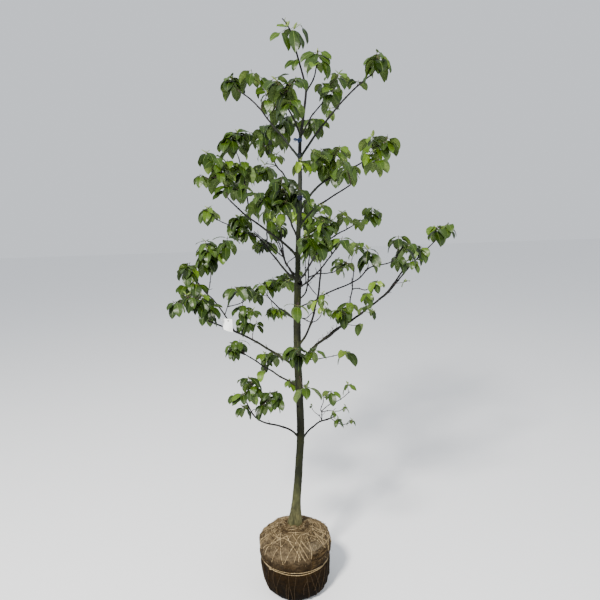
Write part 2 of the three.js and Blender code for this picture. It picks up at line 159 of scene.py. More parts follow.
# leaves at the very top, set one by one: [foot x, y, z, tip x, y, z, width, bend in degrees, green, roll in degrees]
TOP_LEAVES = [
    [20, -10, 2453, -24, -30, 2412, 32, 45, 5, -44], [27, -12, 2450, 47, -36, 2370, 43, 40, 4, -8],
    [68, -8, 2459, 75, -46, 2358, 42, 50, 3, 12], [74, 0, 2462, 106, -30, 2376, 40, 50, 2, -6],
    [73, 8, 2461, 90, 44, 2398, 36, 50, 3, 0], [101, 6, 2482, 124, 10, 2408, 34, 50, 2, 44],
    [47, -3, 2475, 3, -30, 2468, 27, 40, 6, -42], [45, -5, 2477, 29, -42, 2460, 25, 45, 6, -20],
    [52, 5, 2469, 34, 48, 2442, 28, 50, 4, 0], [46, -2, 2474, 57, -8, 2497, 11.8, 10, 7, -20],
    [42, 1, 2477, 46, 10, 2501, 11.5, 10, 7, 0], [33, -2, 2492, 41, -4, 2511, 6, 5, 7, 0],
    [71, -2, 2464, 88, -8, 2490, 11.8, 12, 6, -25], [72, 2, 2465, 105, 0, 2487, 11.8, 14, 6, 25],
    [78, -6, 2347, 31, -30, 2304, 27, 50, 3, -40], [79, -8, 2346, 69, -33, 2303, 30, 45, 4, -10],
    [80, 6, 2347, 64, 38, 2313, 26, 50, 3, 0], [159, -47, 2360, 94, -62, 2317, 35, 66, 4, -50],
    [160, -50, 2355, 116, -86, 2274, 40, 50, 3, -28], [161, -52, 2352, 138, -92, 2284, 35, 50, 3, -8],
    [172, -46, 2363, 217, -62, 2325, 29, 55, 5, 48], [171, -48, 2349, 210, -62, 2304, 34, 48, 4, 38],
    [188, -52, 2335, 200, -72, 2248, 36, 34, 3, 8], [164, -36, 2357, 139, 14, 2337, 33, 55, 3, 0],
    [169, -36, 2355, 205, 6, 2317, 32, 55, 3, 0], [164, -44, 2358, 164, -46, 2377, 6.5, 6, 6, 0],
    [166, -43, 2359, 173, -40, 2371, 6.5, 8, 6, 0],
]

# where the sprays of each mass stand: mass: [(x, y, z, size, seed), ...]
HUBS = {
    "top_left": [(-200, 138, 2322, 1.02, 108), (-205, 139, 2315, 0.74, 61)],
    "top_left_side": [(-22, 52, 2288, 1.03, 156), (-110, 43, 2323, 0.87, 45), (-10, 67, 2191, 0.86, 48), (-48, 74, 2236, 0.89, 101), (0, 150, 2084, 1.04, 13), (35, 150, 2152, 1.04, 11), (-20, 150, 2129, 0.97, 96)],
    "top_right": [(388, -168, 2295, 1.02, 13), (383, -166, 2312, 1.02, 171), (313, -140, 2219, 0.54, 104)],
    "upper_left": [(72, -161, 2237, 0.73, 27), (0, -150, 2231, 0.73, 95), (49, -198, 2204, 1, 139), (50, -194, 2144, 1, 12)],
    "upper_right": [(268, 217, 2342, 1.03, 94), (238, 194, 2269, 1.02, 76), (195, 201, 2300, 0.55, 161), (139, 156, 2110, 1, 49), (153, 157, 2139, 1, 55)],
    "right_mid": [(463, 144, 2028, 0.99, 18), (406, 134, 2051, 0.99, 165), (476, 158, 2055, 0.99, 186), (425, 116, 1952, 0.97, 88), (394, 115, 1982, 0.83, 132)],
    "right_shoulder": [(84, -29, 1939, 0.7, 88), (136, -36, 1966, 0.86, 95), (174, 21, 1990, 0.98, 88), (246, 19, 1996, 0.98, 185), (157, 25, 1943, 0.98, 26), (227, 81, 1943, 0.97, 150), (286, 84, 1919, 0.86, 117)],
    "right_front": [(240, -313, 1904, 0.96, 172)],
    "front_upper": [(9, -237, 1862, 0.94, 41), (23, -243, 1795, 0.94, 96), (70, -240, 1815, 0.94, 81), (-12, -289, 1838, 0.93, 128), (-79, -292, 1784, 0.86, 148), (20, -292, 1768, 0.84, 42), (-78, -261, 1803, 0.93, 118)],
    "back_left": [(-97, 287, 2081, 0.99, 81), (-14, 313, 2094, 0.99, 52), (-69, 291, 2143, 0.99, 41), (-83, 273, 1961, 0.98, 165), (-112, 258, 1928, 0.7, 65)],
    "left_mid": [(-231, -127, 1913, 0.96, 74), (-316, -134, 1888, 0.51, 41), (-150, -115, 1842, 0.81, 225), (-214, -125, 1843, 0.83, 20), (-260, -118, 1961, 0.97, 114), (-290, -119, 1974, 0.7, 153)],
    "left_mid_side": [(-221, 34, 2052, 0.99, 204), (-179, 24, 2068, 0.99, 39), (-127, 25, 2069, 0.84, 127), (-173, 29, 1917, 0.97, 81), (-160, 28, 1948, 0.97, 128), (-227, 31, 1953, 0.97, 80)],
    "left_rear": [(-215, 239, 1716, 0.91, 129), (-195, 254, 1657, 0.91, 39), (-171, 234, 1742, 0.91, 132), (-236, 254, 1678, 0.91, 109), (-212, 245, 1725, 0.91, 83), (-365, 250, 1767, 0.93, 45), (-351, 221, 1765, 0.82, 241)],
    "back_inner": [(-50, 449, 1665, 0.77, 219), (-28, 429, 1682, 0.79, 96), (-117, 404, 1604, 0.88, 53), (-135, 390, 1594, 0.78, 25)],
    "front_right": [(144, -380, 1676, 0.89, 89), (153, -381, 1694, 0.89, 21), (118, -378, 1636, 0.89, 104), (89, -378, 1641, 0.89, 146), (210, -358, 1608, 0.48, 200), (219, -359, 1627, 0.78, 20)],
    "rear_right": [(430, 361, 1747, 0.92, 27), (438, 347, 1723, 0.81, 48), (279, 330, 1726, 0.78, 241), (367, 333, 1689, 0.66, 1), (169, 286, 1734, 0.91, 146), (220, 315, 1694, 0.8, 146), (120, 241, 1718, 0.91, 128), (113, 242, 1793, 0.91, 11), (59, 240, 1742, 0.91, 157)],
    "right_inner": [(135, -172, 1575, 0.47, 238)],
    "right_inner_side": [(329, -236, 1559, 0.87, 77), (329, -245, 1580, 0.77, 96), (445, -250, 1623, 0.66, 62), (483, -261, 1596, 0.89, 108), (441, -255, 1608, 0.64, 154)],
    "right_far": [(694, 145, 1645, 0.89, 193), (749, 159, 1656, 0.76, 74), (680, 140, 1641, 0.48, 146), (590, 125, 1562, 0.87, 158), (614, 114, 1560, 0.77, 45), (508, 102, 1520, 0.86, 11), (584, 111, 1504, 0.46, 92)],
    "right_low_side": [(354, 273, 1579, 0.75, 90), (255, 270, 1505, 0.62, 2), (293, 273, 1491, 0.46, 156)],
    "right_low_near": [(173, -15, 1319, 0.44, 125), (233, -20, 1308, 0.72, 90), (236, 9, 1306, 0.82, 81), (269, 1, 1334, 0.82, 93), (347, -9, 1318, 0.44, 4), (362, 64, 1365, 0.6, 11), (407, 66, 1418, 0.6, 94)],
    "left_far": [(-444, -176, 1388, 0.83, 225), (-395, -172, 1414, 0.71, 248), (-339, -129, 1403, 0.83, 119), (-309, -150, 1359, 0.83, 139), (-345, -141, 1396, 0.83, 23)],
    "left_low_side": [(-438, 22, 1435, 0.85, 95), (-402, 18, 1443, 0.85, 150), (-434, 30, 1509, 0.86, 147), (-416, 29, 1528, 0.86, 45), (-335, 41, 1581, 0.88, 50), (-368, 93, 1547, 0.88, 69), (-246, 31, 1631, 0.88, 151), (-345, 55, 1620, 0.88, 86), (-282, 69, 1572, 0.47, 38)],
    "left_low_near": [(-185, -62, 1346, 0.81, 93), (-187, -51, 1292, 0.69, 150), (-129, -75, 1275, 0.44, 152), (-140, -73, 1327, 0.44, 118), (-168, -33, 1425, 0.6, 73), (-231, -26, 1420, 0.6, 37)],
    "rear_left": [(-90, 396, 1398, 0.83, 108), (-139, 404, 1383, 0.83, 225), (-75, 437, 1406, 0.73, 42), (-173, 360, 1353, 0.73, 130), (4, 372, 1434, 0.84, 93), (-12, 372, 1407, 0.74, 155), (-23, 369, 1251, 0.69, 42), (-74, 357, 1258, 0.71, 103), (-74, 387, 1260, 0.71, 93)],
    "lower_left": [(-275, 243, 1114, 0.77, 102), (-285, 240, 1082, 0.56, 86), (-242, 262, 1121, 0.68, 88), (-64, 225, 1063, 0.76, 193), (-115, 219, 1016, 0.41, 172), (-121, 252, 1054, 0.66, 59)],
    "foot_left": [(-139, -162, 1023, 0.74, 128), (-191, -166, 994, 0.74, 20), (-162, -170, 1063, 0.74, 56), (-220, -164, 989, 0.4, 88), (-79, -145, 988, 0.74, 56), (-49, -159, 969, 0.74, 165), (-108, -169, 944, 0.74, 11), (-198, -147, 935, 0.74, 37), (-56, -168, 997, 0.65, 52)],
    "front_low": [(43, -376, 1228, 0.8, 68), (108, -366, 1224, 0.8, 160), (31, -353, 1226, 0.8, 134)],
}

# thin shoots inside the crown: [name, bough they serve, foot and tip diameter, points on the way]
SHOOTS = [
    ["fork_end", "", 3.4, 2.6, [(161, -51, 2310), (159, -49, 2331), (165, -45, 2369)]],
    ["front_riser", "front_right", 5.6, 3.0, [(61, 0, 1353), (83, -30, 1376), (96, -60, 1410), (100, -110, 1468), (102, -160, 1532), (106, -210, 1579)]],
    ["front_reach", "front_right", 6.8, 3.2, [(56, 0, 1404), (95, -100, 1443), (132, -190, 1488), (155, -250, 1522), (201, -370, 1598)]],
    ["riser_side", "right_low_side", 3.4, 2.4, [(99, -105, 1465), (136, -80, 1475), (183, -20, 1469), (221, 60, 1471), (253, 130, 1484)]],
    ["inner_root", "right_inner_side", 4.8, 3.6, [(49, 0, 1318), (77, -40, 1337), (107, -90, 1356), (131, -145, 1377)]],
    ["inner_reach", "right_inner_side", 3.6, 2.6, [(325, -238, 1496), (344, -240, 1508), (374, -250, 1517), (411, -260, 1528), (434, -260, 1548)]],
    ["far_fork", "right_low", 6.0, 3.2, [(432, 85, 1316), (470, 95, 1348), (526, 110, 1420), (585, 120, 1490), (628, 130, 1533), (694, 140, 1594)]],
    ["low_twin", "right_low", 4.4, 2.6, [(134, 0, 1141), (160, -12, 1165), (200, -20, 1198), (231, -22, 1228), (254, -20, 1259), (263, -15, 1284)]],
    ["low_rise", "right_low", 3.4, 2.4, [(306, 235, 1309), (322, 220, 1331), (344, 180, 1353), (365, 120, 1371), (378, 80, 1389)]],
    ["left_riser", "front_upper", 6.4, 2.8, [(49, 0, 1439), (31, 30, 1461), (11, 70, 1495), (-5, 100, 1533), (-14, 120, 1620), (-13, 90, 1681), (-12, 50, 1733)]],
    ["left_shoot_one", "front_upper", 3.8, 2.6, [(-75, 155, 1601), (-75, 150, 1633), (-75, 120, 1678), (-69, 40, 1748)]],
    ["left_shoot_two", "left_mid", 3.2, 2.2, [(-49, -50, 1652), (-51, -55, 1671), (-50, -60, 1716)]],
    ["left_shoot_three", "left_rear", 3.4, 2.4, [(-39, 220, 1580), (-47, 220, 1609), (-54, 220, 1672)]],
    ["left_reach", "left_rear", 4.0, 2.6, [(-5, 100, 1536), (-25, 120, 1551), (-80, 180, 1600), (-144, 220, 1654)]],
    ["cross_twig", "", 3.0, 1.8, [(54, 0, 1549), (35, -20, 1537), (18, -35, 1525), (8, -40, 1509)]],
    ["low_twig", "", 3.0, 2.0, [(50, 0, 1282), (73, -30, 1278), (100, -50, 1266), (127, -55, 1270), (147, -50, 1290), (151, -50, 1307)]],
    ["low_twig_side", "", 2.4, 1.6, [(73, -30, 1278), (91, -35, 1282), (111, -40, 1302), (128, -45, 1317)]],
    ["back_reach", "back_reach", 3.8, 2.4, [(41, 0, 1077), (79, 60, 1068), (131, 120, 1057), (186, 180, 1047), (231, 210, 1048)]],
    ["foot_up", "foot_right", 3.0, 2.0, [(145, 140, 744), (146, 142, 786), (142, 144, 798), (155, 146, 837), (157, 148, 858), (174, 150, 853)]],
    ["foot_long", "foot_right", 2.6, 1.8, [(144, 143, 793), (186, 167, 816), (244, 191, 834), (291, 215, 861)]],
    ["foot_flat", "foot_right", 2.4, 1.7, [(144, 142, 789), (178, 156, 789), (212, 170, 781), (238, 184, 777), (257, 198, 784)]],
    ["foot_far", "foot_right", 2.8, 1.9, [(145, 140, 744), (187, 159, 748), (224, 178, 716), (249, 198, 701), (278, 217, 697), (290, 236, 699)]],
    ["foot_stub", "foot_right", 2.4, 1.7, [(146, 140, 751), (135, 140, 771), (119, 140, 784)]],
    ["rear_reach", "left_rear", 3.8, 2.6, [(-155, 215, 1601), (-194, 222, 1630), (-234, 230, 1664), (-280, 236, 1693), (-319, 240, 1715), (-347, 240, 1733)]],
    ["side_rise", "left_low_side", 3.0, 2.2, [(-332, 45, 1375), (-331, 48, 1428), (-329, 50, 1481)]],
    ["side_rise_two", "left_low_side", 2.6, 1.9, [(-255, -45, 1303), (-243, -40, 1376)]],
    ["side_rise_three", "left_low_side", 2.6, 1.9, [(-197, -45, 1331), (-166, -45, 1376)]],
    ["riser_twin", "", 3.0, 1.8, [(87, -88, 1439), (87, -104, 1495), (89, -120, 1542)]],
    ["riser_cross", "", 3.0, 1.9, [(91, -80, 1434), (108, -92, 1416), (131, -105, 1389)]],
    ["reach_side", "", 3.4, 2.2, [(186, -328, 1572), (177, -332, 1598), (170, -335, 1622)]],
]

# twine over the front of the root ball: [(compass, height), ...]
STRANDS = [
    [(-143, 288), (-119, 267), (-112, 245), (-109, 223), (-108, 208)],
    [(-115, 266), (-120.5, 261), (-122.5, 250), (-126, 225), (-129, 200)],
    [(-100, 286), (-110, 286), (-120, 283), (-130, 274), (-141, 263), (-149, 239)],
    [(-143, 283), (-142, 268), (-140, 257), (-142, 240), (-144, 215)],
    [(-116, 287), (-107, 280), (-93, 267), (-85, 255), (-82, 241), (-81, 230)],
    [(-97, 290), (-84, 278), (-77, 267), (-74, 256), (-70, 235), (-69, 226)],
    [(-51, 282), (-57, 267), (-62, 250), (-62, 240), (-65, 227), (-64, 198), (-64, 172)],
    [(-17, 283), (-25, 275), (-31, 265), (-35, 250), (-33, 236)],
    [(8, 252), (-4, 257), (-13, 260)],
    [(-91, 268), (-95, 264), (-99, 253), (-104, 228), (-105, 218)],
    [(-70, 287), (-82, 281), (-88, 272)],
    [(-66, 288), (-73, 277), (-80, 266), (-86, 254), (-90, 231), (-91, 222)],
    [(-73, 276), (-68, 265), (-64, 250)],
    [(-81, 263), (-79, 247), (-75, 228), (-73, 220)],
    [(-82, 256), (-84, 233), (-84, 222)],
    [(-119, 293), (-100, 294), (-85, 293), (-63, 292), (-47, 288), (-38, 280), (-31, 270)],
    [(-82, 302), (-84, 294), (-86, 288)],
    [(-101, 289), (-106, 281), (-110, 276)],
]
# damper strands from the belts down under the foot
LOW_STRANDS = [
    [(-113, 152), (-116, 135), (-124, 79), (-129, 30)],
    [(-101, 150), (-100.5, 107), (-98, 66), (-95, 8)],
    [(-89, 150), (-90, 118), (-92.5, 83), (-93, 20)],
    [(-73, 150), (-72, 144), (-70.5, 104), (-68, 60), (-66, 8)],
    [(-71, 124), (-73, 111), (-77, 93), (-77, 50)],
    [(-68, 150), (-65, 143), (-60, 91), (-52, 40), (-48, 8)],
    [(-58, 148), (-57, 141), (-48, 77), (-44, 20)],
    [(-33, 146), (-35, 128), (-38, 76), (-42, 20)],
    [(-43, 147), (-45, 141), (-50, 110), (-58, 60)],
    [(-102, 96), (-103, 54), (-105, 10)],
    [(-104, 110), (-106, 80), (-107, 30)],
    [(-139, 158), (-140, 139), (-143, 83), (-148, 20)],
    [(-127, 158), (-128.5, 144), (-129, 98), (-124, 30)],
]


# ------------------------------------------------------------------ small tools
def clamp(x, a, b):
    return max(a, min(b, x))


def unit(v):
    v = np.asarray(v, float)
    return v / (np.linalg.norm(v) + 1e-12)


def smooth(a, b, x):
    t = np.clip((np.asarray(x, float) - a) / (b - a), 0, 1)
    return t * t * (3 - 2 * t)


def _hash(x, y, z, seed):
    with np.errstate(over="ignore"):
        h = (
            x.astype(np.uint32) * np.uint32(374761393)
            ^ y.astype(np.uint32) * np.uint32(668265263)
            ^ z.astype(np.uint32) * np.uint32(2246822519)
            ^ np.uint32((seed * 3266489917 + 977) & 0xFFFFFFFF)
        )
        h ^= h >> np.uint32(15)
        h *= np.uint32(2246822519)
        h ^= h >> np.uint32(13)
        h *= np.uint32(3266489917)
        h ^= h >> np.uint32(16)
    return h.astype(np.float64) / 2147483647.5 - 1.0


def noise(p, seed=0):
    """Smooth noise, -1 to 1, at points p (N x 3)."""
    p = np.asarray(p, float)
    i = np.floor(p).astype(np.int64)
    f = p - i
    u = f * f * f * (f * (f * 6 - 15) + 10)
    out = 0.0
    for dx in (0, 1):
        for dy in (0, 1):
            for dz in (0, 1):
                w = (
                    (u[..., 0] if dx else 1 - u[..., 0])
                    * (u[..., 1] if dy else 1 - u[..., 1])
                    * (u[..., 2] if dz else 1 - u[..., 2])
                )
                out = out + w * _hash(i[..., 0] + dx, i[..., 1] + dy, i[..., 2] + dz, seed)
    return out


def fbm(p, seed=0, octaves=3):
    s, a, n = 0.0, 1.0, 0.0
    for k in range(octaves):
        s = s + a * noise(np.asarray(p) * (2.03**k), seed + 17 * k)
        n += a
        a *= 0.5
    return s / n


class Mesh:
    """Gathers vertices and faces of many bodies, then makes one object of them."""

    def __init__(self, name):
        self.name = name
        self.v, self.f4, self.m4, self.f3, self.m3, self.e, self.t = [], [], [], [], [], [], []
        self.n = 0

    def add(self, verts, quads=None, qmat=0, tris=None, tmat=0, edge=None, tone=None):
        """Millimetres. edge marks the vertices of a margin, where the shading breaks; tone is 1 on old bark and 0 on young."""
        verts = np.asarray(verts, float).reshape(-1, 3)
        self.v.append(verts)
        self.e.append(np.zeros(len(verts), bool) if edge is None else np.asarray(edge, bool))
        self.t.append(np.full(len(verts), np.nan) if tone is None else np.broadcast_to(np.asarray(tone, float), (len(verts),)))
        if quads is not None and len(quads):
            q = np.asarray(quads, np.int64) + self.n
            self.f4.append(q)
            self.m4.append(np.broadcast_to(np.asarray(qmat, np.int32), (len(q),)).copy())
        if tris is not None and len(tris):
            t = np.asarray(tris, np.int64) + self.n
            self.f3.append(t)
            self.m3.append(np.broadcast_to(np.asarray(tmat, np.int32), (len(t),)).copy())
        self.n += len(verts)

    def triangles(self):
        return sum(2 * len(q) for q in self.f4) + sum(len(t) for t in self.f3)

    def build(self, materials, smooth_faces=True):
        me = bpy.data.meshes.new(self.name)
        v = np.concatenate(self.v) * MM
        q = np.concatenate(self.f4) if self.f4 else np.zeros((0, 4), np.int64)
        t = np.concatenate(self.f3) if self.f3 else np.zeros((0, 3), np.int64)
        me.vertices.add(len(v))
        me.vertices.foreach_set("co", v.astype(np.float32).ravel())
        loops = np.concatenate([q.ravel(), t.ravel()]).astype(np.int32)
        me.loops.add(len(loops))
        me.loops.foreach_set("vertex_index", loops)
        start = np.concatenate([np.arange(len(q)) * 4, len(q) * 4 + np.arange(len(t)) * 3]).astype(np.int32)
        me.polygons.add(len(start))
        me.polygons.foreach_set("loop_start", start)
        mats = np.concatenate((self.m4 if self.m4 else [np.zeros(0, np.int32)]) + (self.m3 if self.m3 else [np.zeros(0, np.int32)]))
        for m in materials:
            me.materials.append(m)
        me.update(calc_edges=True)
        me.polygons.foreach_set("material_index", mats.astype(np.int32))
        me.polygons.foreach_set("use_smooth", np.full(len(start), smooth_faces, bool))
        tone = np.concatenate(self.t)
        if np.isfinite(tone).any():
            me.attributes.new("tone", "FLOAT", "POINT").data.foreach_set("value", np.nan_to_num(tone).astype(np.float32))
        flags = np.concatenate(self.e)
        if flags.any():
            ev = np.zeros(len(me.edges) * 2, np.int32)
            me.edges.foreach_get("vertices", ev)
            ev = ev.reshape(-1, 2)
            sharp = me.attributes.get("sharp_edge") or me.attributes.new("sharp_edge", "BOOLEAN", "EDGE")
            sharp.data.foreach_set("value", flags[ev[:, 0]] & flags[ev[:, 1]])
        me.update()
        ob = bpy.data.objects.new(self.name, me)
        bpy.context.scene.collection.objects.link(ob)
        return ob


def frames_along(p, first=None):
    """Turn-free frames along a path: tangents, sides and ups."""
    t = np.gradient(p, axis=0)
    t /= np.linalg.norm(t, axis=1)[:, None] + 1e-12
    n = len(p)
    side = np.zeros_like(p)
    ref = np.array(first if first is not None else ([1, 0, 0] if abs(t[0][0]) < 0.9 else [0, 1, 0]), float)
    s = ref - t[0] * ref.dot(t[0])
    s /= np.linalg.norm(s)
    side[0] = s
    for i in range(1, n):
        s = side[i - 1] - t[i] * side[i - 1].dot(t[i])
        side[i] = s / (np.linalg.norm(s) + 1e-12)
    up = np.cross(t, side)
    return t, side, up


def sweep(mesh, p, radius, sides, mat=0, frames=None, caps=(True, True), tone=None):
    """A closed tube along path p. radius: one number a ring, or rings x sides. tone: one a ring."""
    p = np.asarray(p, float)
    n = len(p)
    t, s, u = frames if frames is not None else frames_along(p)
    a = np.arange(sides) * (2 * np.pi / sides)
    r = np.asarray(radius, float)
    if r.ndim == 0:
        r = np.full(n, float(r))
    if r.ndim == 1:
        r = r[:, None] * np.ones(sides)
    v = p[:, None, :] + r[..., None] * (np.cos(a)[None, :, None] * s[:, None, :] + np.sin(a)[None, :, None] * u[:, None, :])
    i = np.arange(n - 1)[:, None] * sides
    j = np.arange(sides)[None, :]
    k = (j + 1) % sides
    quads = np.stack([i + j, i + k, i + sides + k, i + sides + j], -1).reshape(-1, 4)
    verts = v.reshape(-1, 3)
    tris = []
    extra = []
    if caps[0]:
        c = len(verts) + len(extra)
        extra.append(p[0])
        tris += [[c, (m + 1) % sides, m] for m in range(sides)]
    if caps[1]:
        c = len(verts) + len(extra)
        extra.append(p[-1] + t[-1] * r[-1].mean() * 0.5)
        b = (n - 1) * sides
        tris += [[c, b + m, b + (m + 1) % sides] for m in range(sides)]
    if extra:
        verts = np.concatenate([verts, np.array(extra)])
    if tone is not None:
        tone = np.concatenate([np.repeat(np.asarray(tone, float), sides), [tone[0]] if caps[0] else [], [tone[-1]] if caps[1] else []])
    mesh.add(verts, quads, mat, tris, mat, tone=tone)
    return v


def bezier(p0, p1, p2, p3, n):
    t = np.linspace(0, 1, n)[:, None]
    return p0 * (1 - t) ** 3 + 3 * p1 * t * (1 - t) ** 2 + 3 * p2 * t * t * (1 - t) + p3 * t**3


def through(points, n=40):
    """A smooth run through the points."""
    q = np.array(points, float)
    q = np.concatenate([[2 * q[0] - q[1]], q, [2 * q[-1] - q[-2]]])
    out = []
    for i in range(1, len(q) - 2):
        t = np.linspace(0, 1, n, endpoint=False)[:, None]
        a, b, c, d = q[i - 1], q[i], q[i + 1], q[i + 2]
        out.append(0.5 * (2 * b + (c - a) * t + (2 * a - 5 * b + 4 * c - d) * t**2 + (3 * b - a - 3 * c + d) * t**3))
    return np.concatenate(out + [q[-2:-1]])


def resample(p, step):
    d = np.r_[0, np.cumsum(np.linalg.norm(np.diff(p, axis=0), axis=1))]
    n = max(3, int(round(d[-1] / step)) + 1)
    s = np.linspace(0, d[-1], n)
    return np.stack([np.interp(s, d, p[:, k]) for k in range(3)], 1), s


# ------------------------------------------------------------------ materials
def node_material(name):
    m = bpy.data.materials.new(name)
    m.use_nodes = True
    nt = m.node_tree
    nt.nodes.clear()
    out = nt.nodes.new("ShaderNodeOutputMaterial")
    b = nt.nodes.new("ShaderNodeBsdfPrincipled")
    nt.links.new(b.outputs[0], out.inputs[0])
    return m, nt, b


def ramp(nt, fac, stops, mode="LINEAR"):
    r = nt.nodes.new("ShaderNodeValToRGB")
    r.color_ramp.interpolation = mode
    while len(r.color_ramp.elements) < len(stops):
        r.color_ramp.elements.new(0.5)
    for e, (pos, col) in zip(r.color_ramp.elements, stops):
        e.position = pos
        e.color = (*col, 1) if len(col) == 3 else col
    nt.links.new(fac, r.inputs[0])
    return r.outputs[0]


def coords(nt, kind="Object", scale=(1, 1, 1)):
    tc = nt.nodes.new("ShaderNodeTexCoord")
    mp = nt.nodes.new("ShaderNodeMapping")
    mp.inputs["Scale"].default_value = scale
    nt.links.new(tc.outputs[kind], mp.inputs[0])
    return mp.outputs[0]


def tex_noise(nt, vec, scale, detail=4, rough=0.55, distort=0.0):
    n = nt.nodes.new("ShaderNodeTexNoise")
    n.inputs["Scale"].default_value = scale
    n.inputs["Detail"].default_value = detail
    n.inputs["Roughness"].default_value = rough
    n.inputs["Distortion"].default_value = distort
    nt.links.new(vec, n.inputs["Vector"])
    return n.outputs["Fac"]


def mix(nt, fac, a, b, mode="MIX"):
    m = nt.nodes.new("ShaderNodeMix")
    m.data_type = "RGBA"
    m.blend_type = mode
    for sock, val in ((m.inputs[0], fac), (m.inputs[6], a), (m.inputs[7], b)):
        if hasattr(val, "is_output"):
            nt.links.new(val, sock)
        elif isinstance(val, (int, float)):
            sock.default_value = val
        else:
            sock.default_value = (*val, 1)
    return m.outputs[2]


def bump(nt, b, height, strength, distance, prev=None):
    n = nt.nodes.new("ShaderNodeBump")
    n.inputs["Strength"].default_value = strength
    n.inputs["Distance"].default_value = distance
    nt.links.new(height, n.inputs["Height"])
    if prev is not None:
        nt.links.new(prev, n.inputs["Normal"])
    nt.links.new(n.outputs[0], b.inputs["Normal"])
    return n.outputs[0]


def srgb(r, g, b):
    f = lambda c: ((c / 255 + 0.055) / 1.055) ** 2.4 if c / 255 > 0.04045 else c / 255 / 12.92
    return (f(r), f(g), f(b))


def leaf_material(name, colour, rough=0.46, spec=0.5):
    m, nt, b = node_material(name)
    b.inputs["Base Color"].default_value = (*colour, 1)
    b.inputs["Roughness"].default_value = rough
    b.inputs["Specular IOR Level"].default_value = spec
    return m


def bark_material(name, old, young, rough=0.78, scale=1.0):
    """old and young: three colours each, dark to light. The tone attribute fades from young to old."""
    m, nt, b = node_material(name)
    streak = tex_noise(nt, coords(nt, "Object", (1, 1, 0.22)), 170 * scale, 6, 0.62)
    blotch = tex_noise(nt, coords(nt, "Object", (1, 1, 0.55)), 46 * scale, 5, 0.62, 0.6)
    patch = tex_noise(nt, coords(nt, "Object", (1, 1, 0.30)), 26 * scale, 4, 0.6, 0.3)
    o1 = ramp(nt, streak, [(0.30, old[0]), (0.50, old[1]), (0.72, old[2])])
    o2 = ramp(nt, blotch, [(0.34, tuple(c * 0.55 for c in old[1])), (0.50, old[1]), (0.66, tuple(c * 1.5 for c in old[1]))])
    o = mix(nt, 0.55, o1, o2)
    # broad bands, darker and greener about half way up the stem: partly the bark's own tone, partly painted shade where
    # the crown shades the stem
    sep = nt.nodes.new("ShaderNodeSeparateXYZ")
    nt.links.new(coords(nt), sep.inputs[0])
    band = ramp(nt, sep.outputs[2], [(0.0, STEM_TONE_AND_SHADE[0][1])], "EASE")
    cr = band.node.color_ramp
    cr.elements[0].position, cr.elements[0].color = 0.0, (*STEM_TONE_AND_SHADE[0][1], 1)
    while len(cr.elements) > 1:
        cr.elements.remove(cr.elements[-1])
    for z, c in STEM_TONE_AND_SHADE[1:]:
        cr.elements.new(z / 2.6).color = (*c, 1)
    sc = nt.nodes.new("ShaderNodeMath")
    sc.operation = "MULTIPLY"
    sc.inputs[1].default_value = 1 / 2.6
    nt.links.new(sep.outputs[2], sc.inputs[0])
    nt.links.new(sc.outputs[0], cr.id_data.nodes[band.node.name].inputs[0])
    # the height bands, with their painted shade, multiply the bark colour
    o = mix(nt, 1.0, o, band, "MULTIPLY")
    o = mix(nt, 0.85, o, ramp(nt, patch, [(0.36, (0.30, 0.32, 0.26)), (0.50, (0.9, 0.9, 0.9)), (0.66, (1.7, 1.62, 1.5))]), "MULTIPLY")
    y1 = ramp(nt, streak, [(0.30, young[0]), (0.50, young[1]), (0.74, young[2])])
    y2 = ramp(nt, blotch, [(0.36, tuple(c * 0.6 for c in young[1])), (0.64, tuple(c * 1.4 for c in young[1]))])
    y = mix(nt, 0.45, y1, y2)
    at = nt.nodes.new("ShaderNodeAttribute")
    at.attribute_name = "tone"
    nt.links.new(mix(nt, at.outputs["Fac"], y, o), b.inputs["Base Color"])
    b.inputs["Roughness"].default_value = rough
    b.inputs["Specular IOR Level"].default_value = 0.2
    n1 = bump(nt, b, streak, 0.55, 0.0009)
    lent = nt.nodes.new("ShaderNodeTexVoronoi")
    lent.inputs["Scale"].default_value = 95 * scale
    nt.links.new(coords(nt, "Object", (1, 1, 1.9)), lent.inputs["Vector"])
    dots = ramp(nt, lent.outputs["Distance"], [(0.1, (1, 1, 1)), (0.24, (0, 0, 0))])
    bump(nt, b, dots, 0.35, 0.0006, n1)
    return m


# how the stem's bark darkens and greens with height (m): a factor for each channel; partly the bark's own tone, partly
# painted shade under the crown
STEM_TONE_AND_SHADE = [
    (0.0, (0.86, 0.85, 0.68)), (0.34, (0.84, 0.84, 0.67)), (0.43, (0.46, 0.52, 0.39)), (0.50, (0.28, 0.33, 0.21)), (0.58, (0.14, 0.18, 0.075)),
    (0.68, (0.07, 0.09, 0.025)), (0.80, (0.06, 0.07, 0.025)), (0.88, (0.10, 0.12, 0.05)), (1.00, (0.15, 0.19, 0.09)),
    (1.13, (0.34, 0.41, 0.27)), (1.22, (0.11, 0.13, 0.08)), (1.35, (0.13, 0.17, 0.055)), (1.45, (0.07, 0.10, 0.04)),
    (1.60, (0.085, 0.12, 0.06)), (1.75, (0.11, 0.20, 0.10)), (1.85, (0.24, 0.34, 0.40)), (1.96, (0.20, 0.30, 0.40)), (2.10, (0.16, 0.22, 0.24)),
]


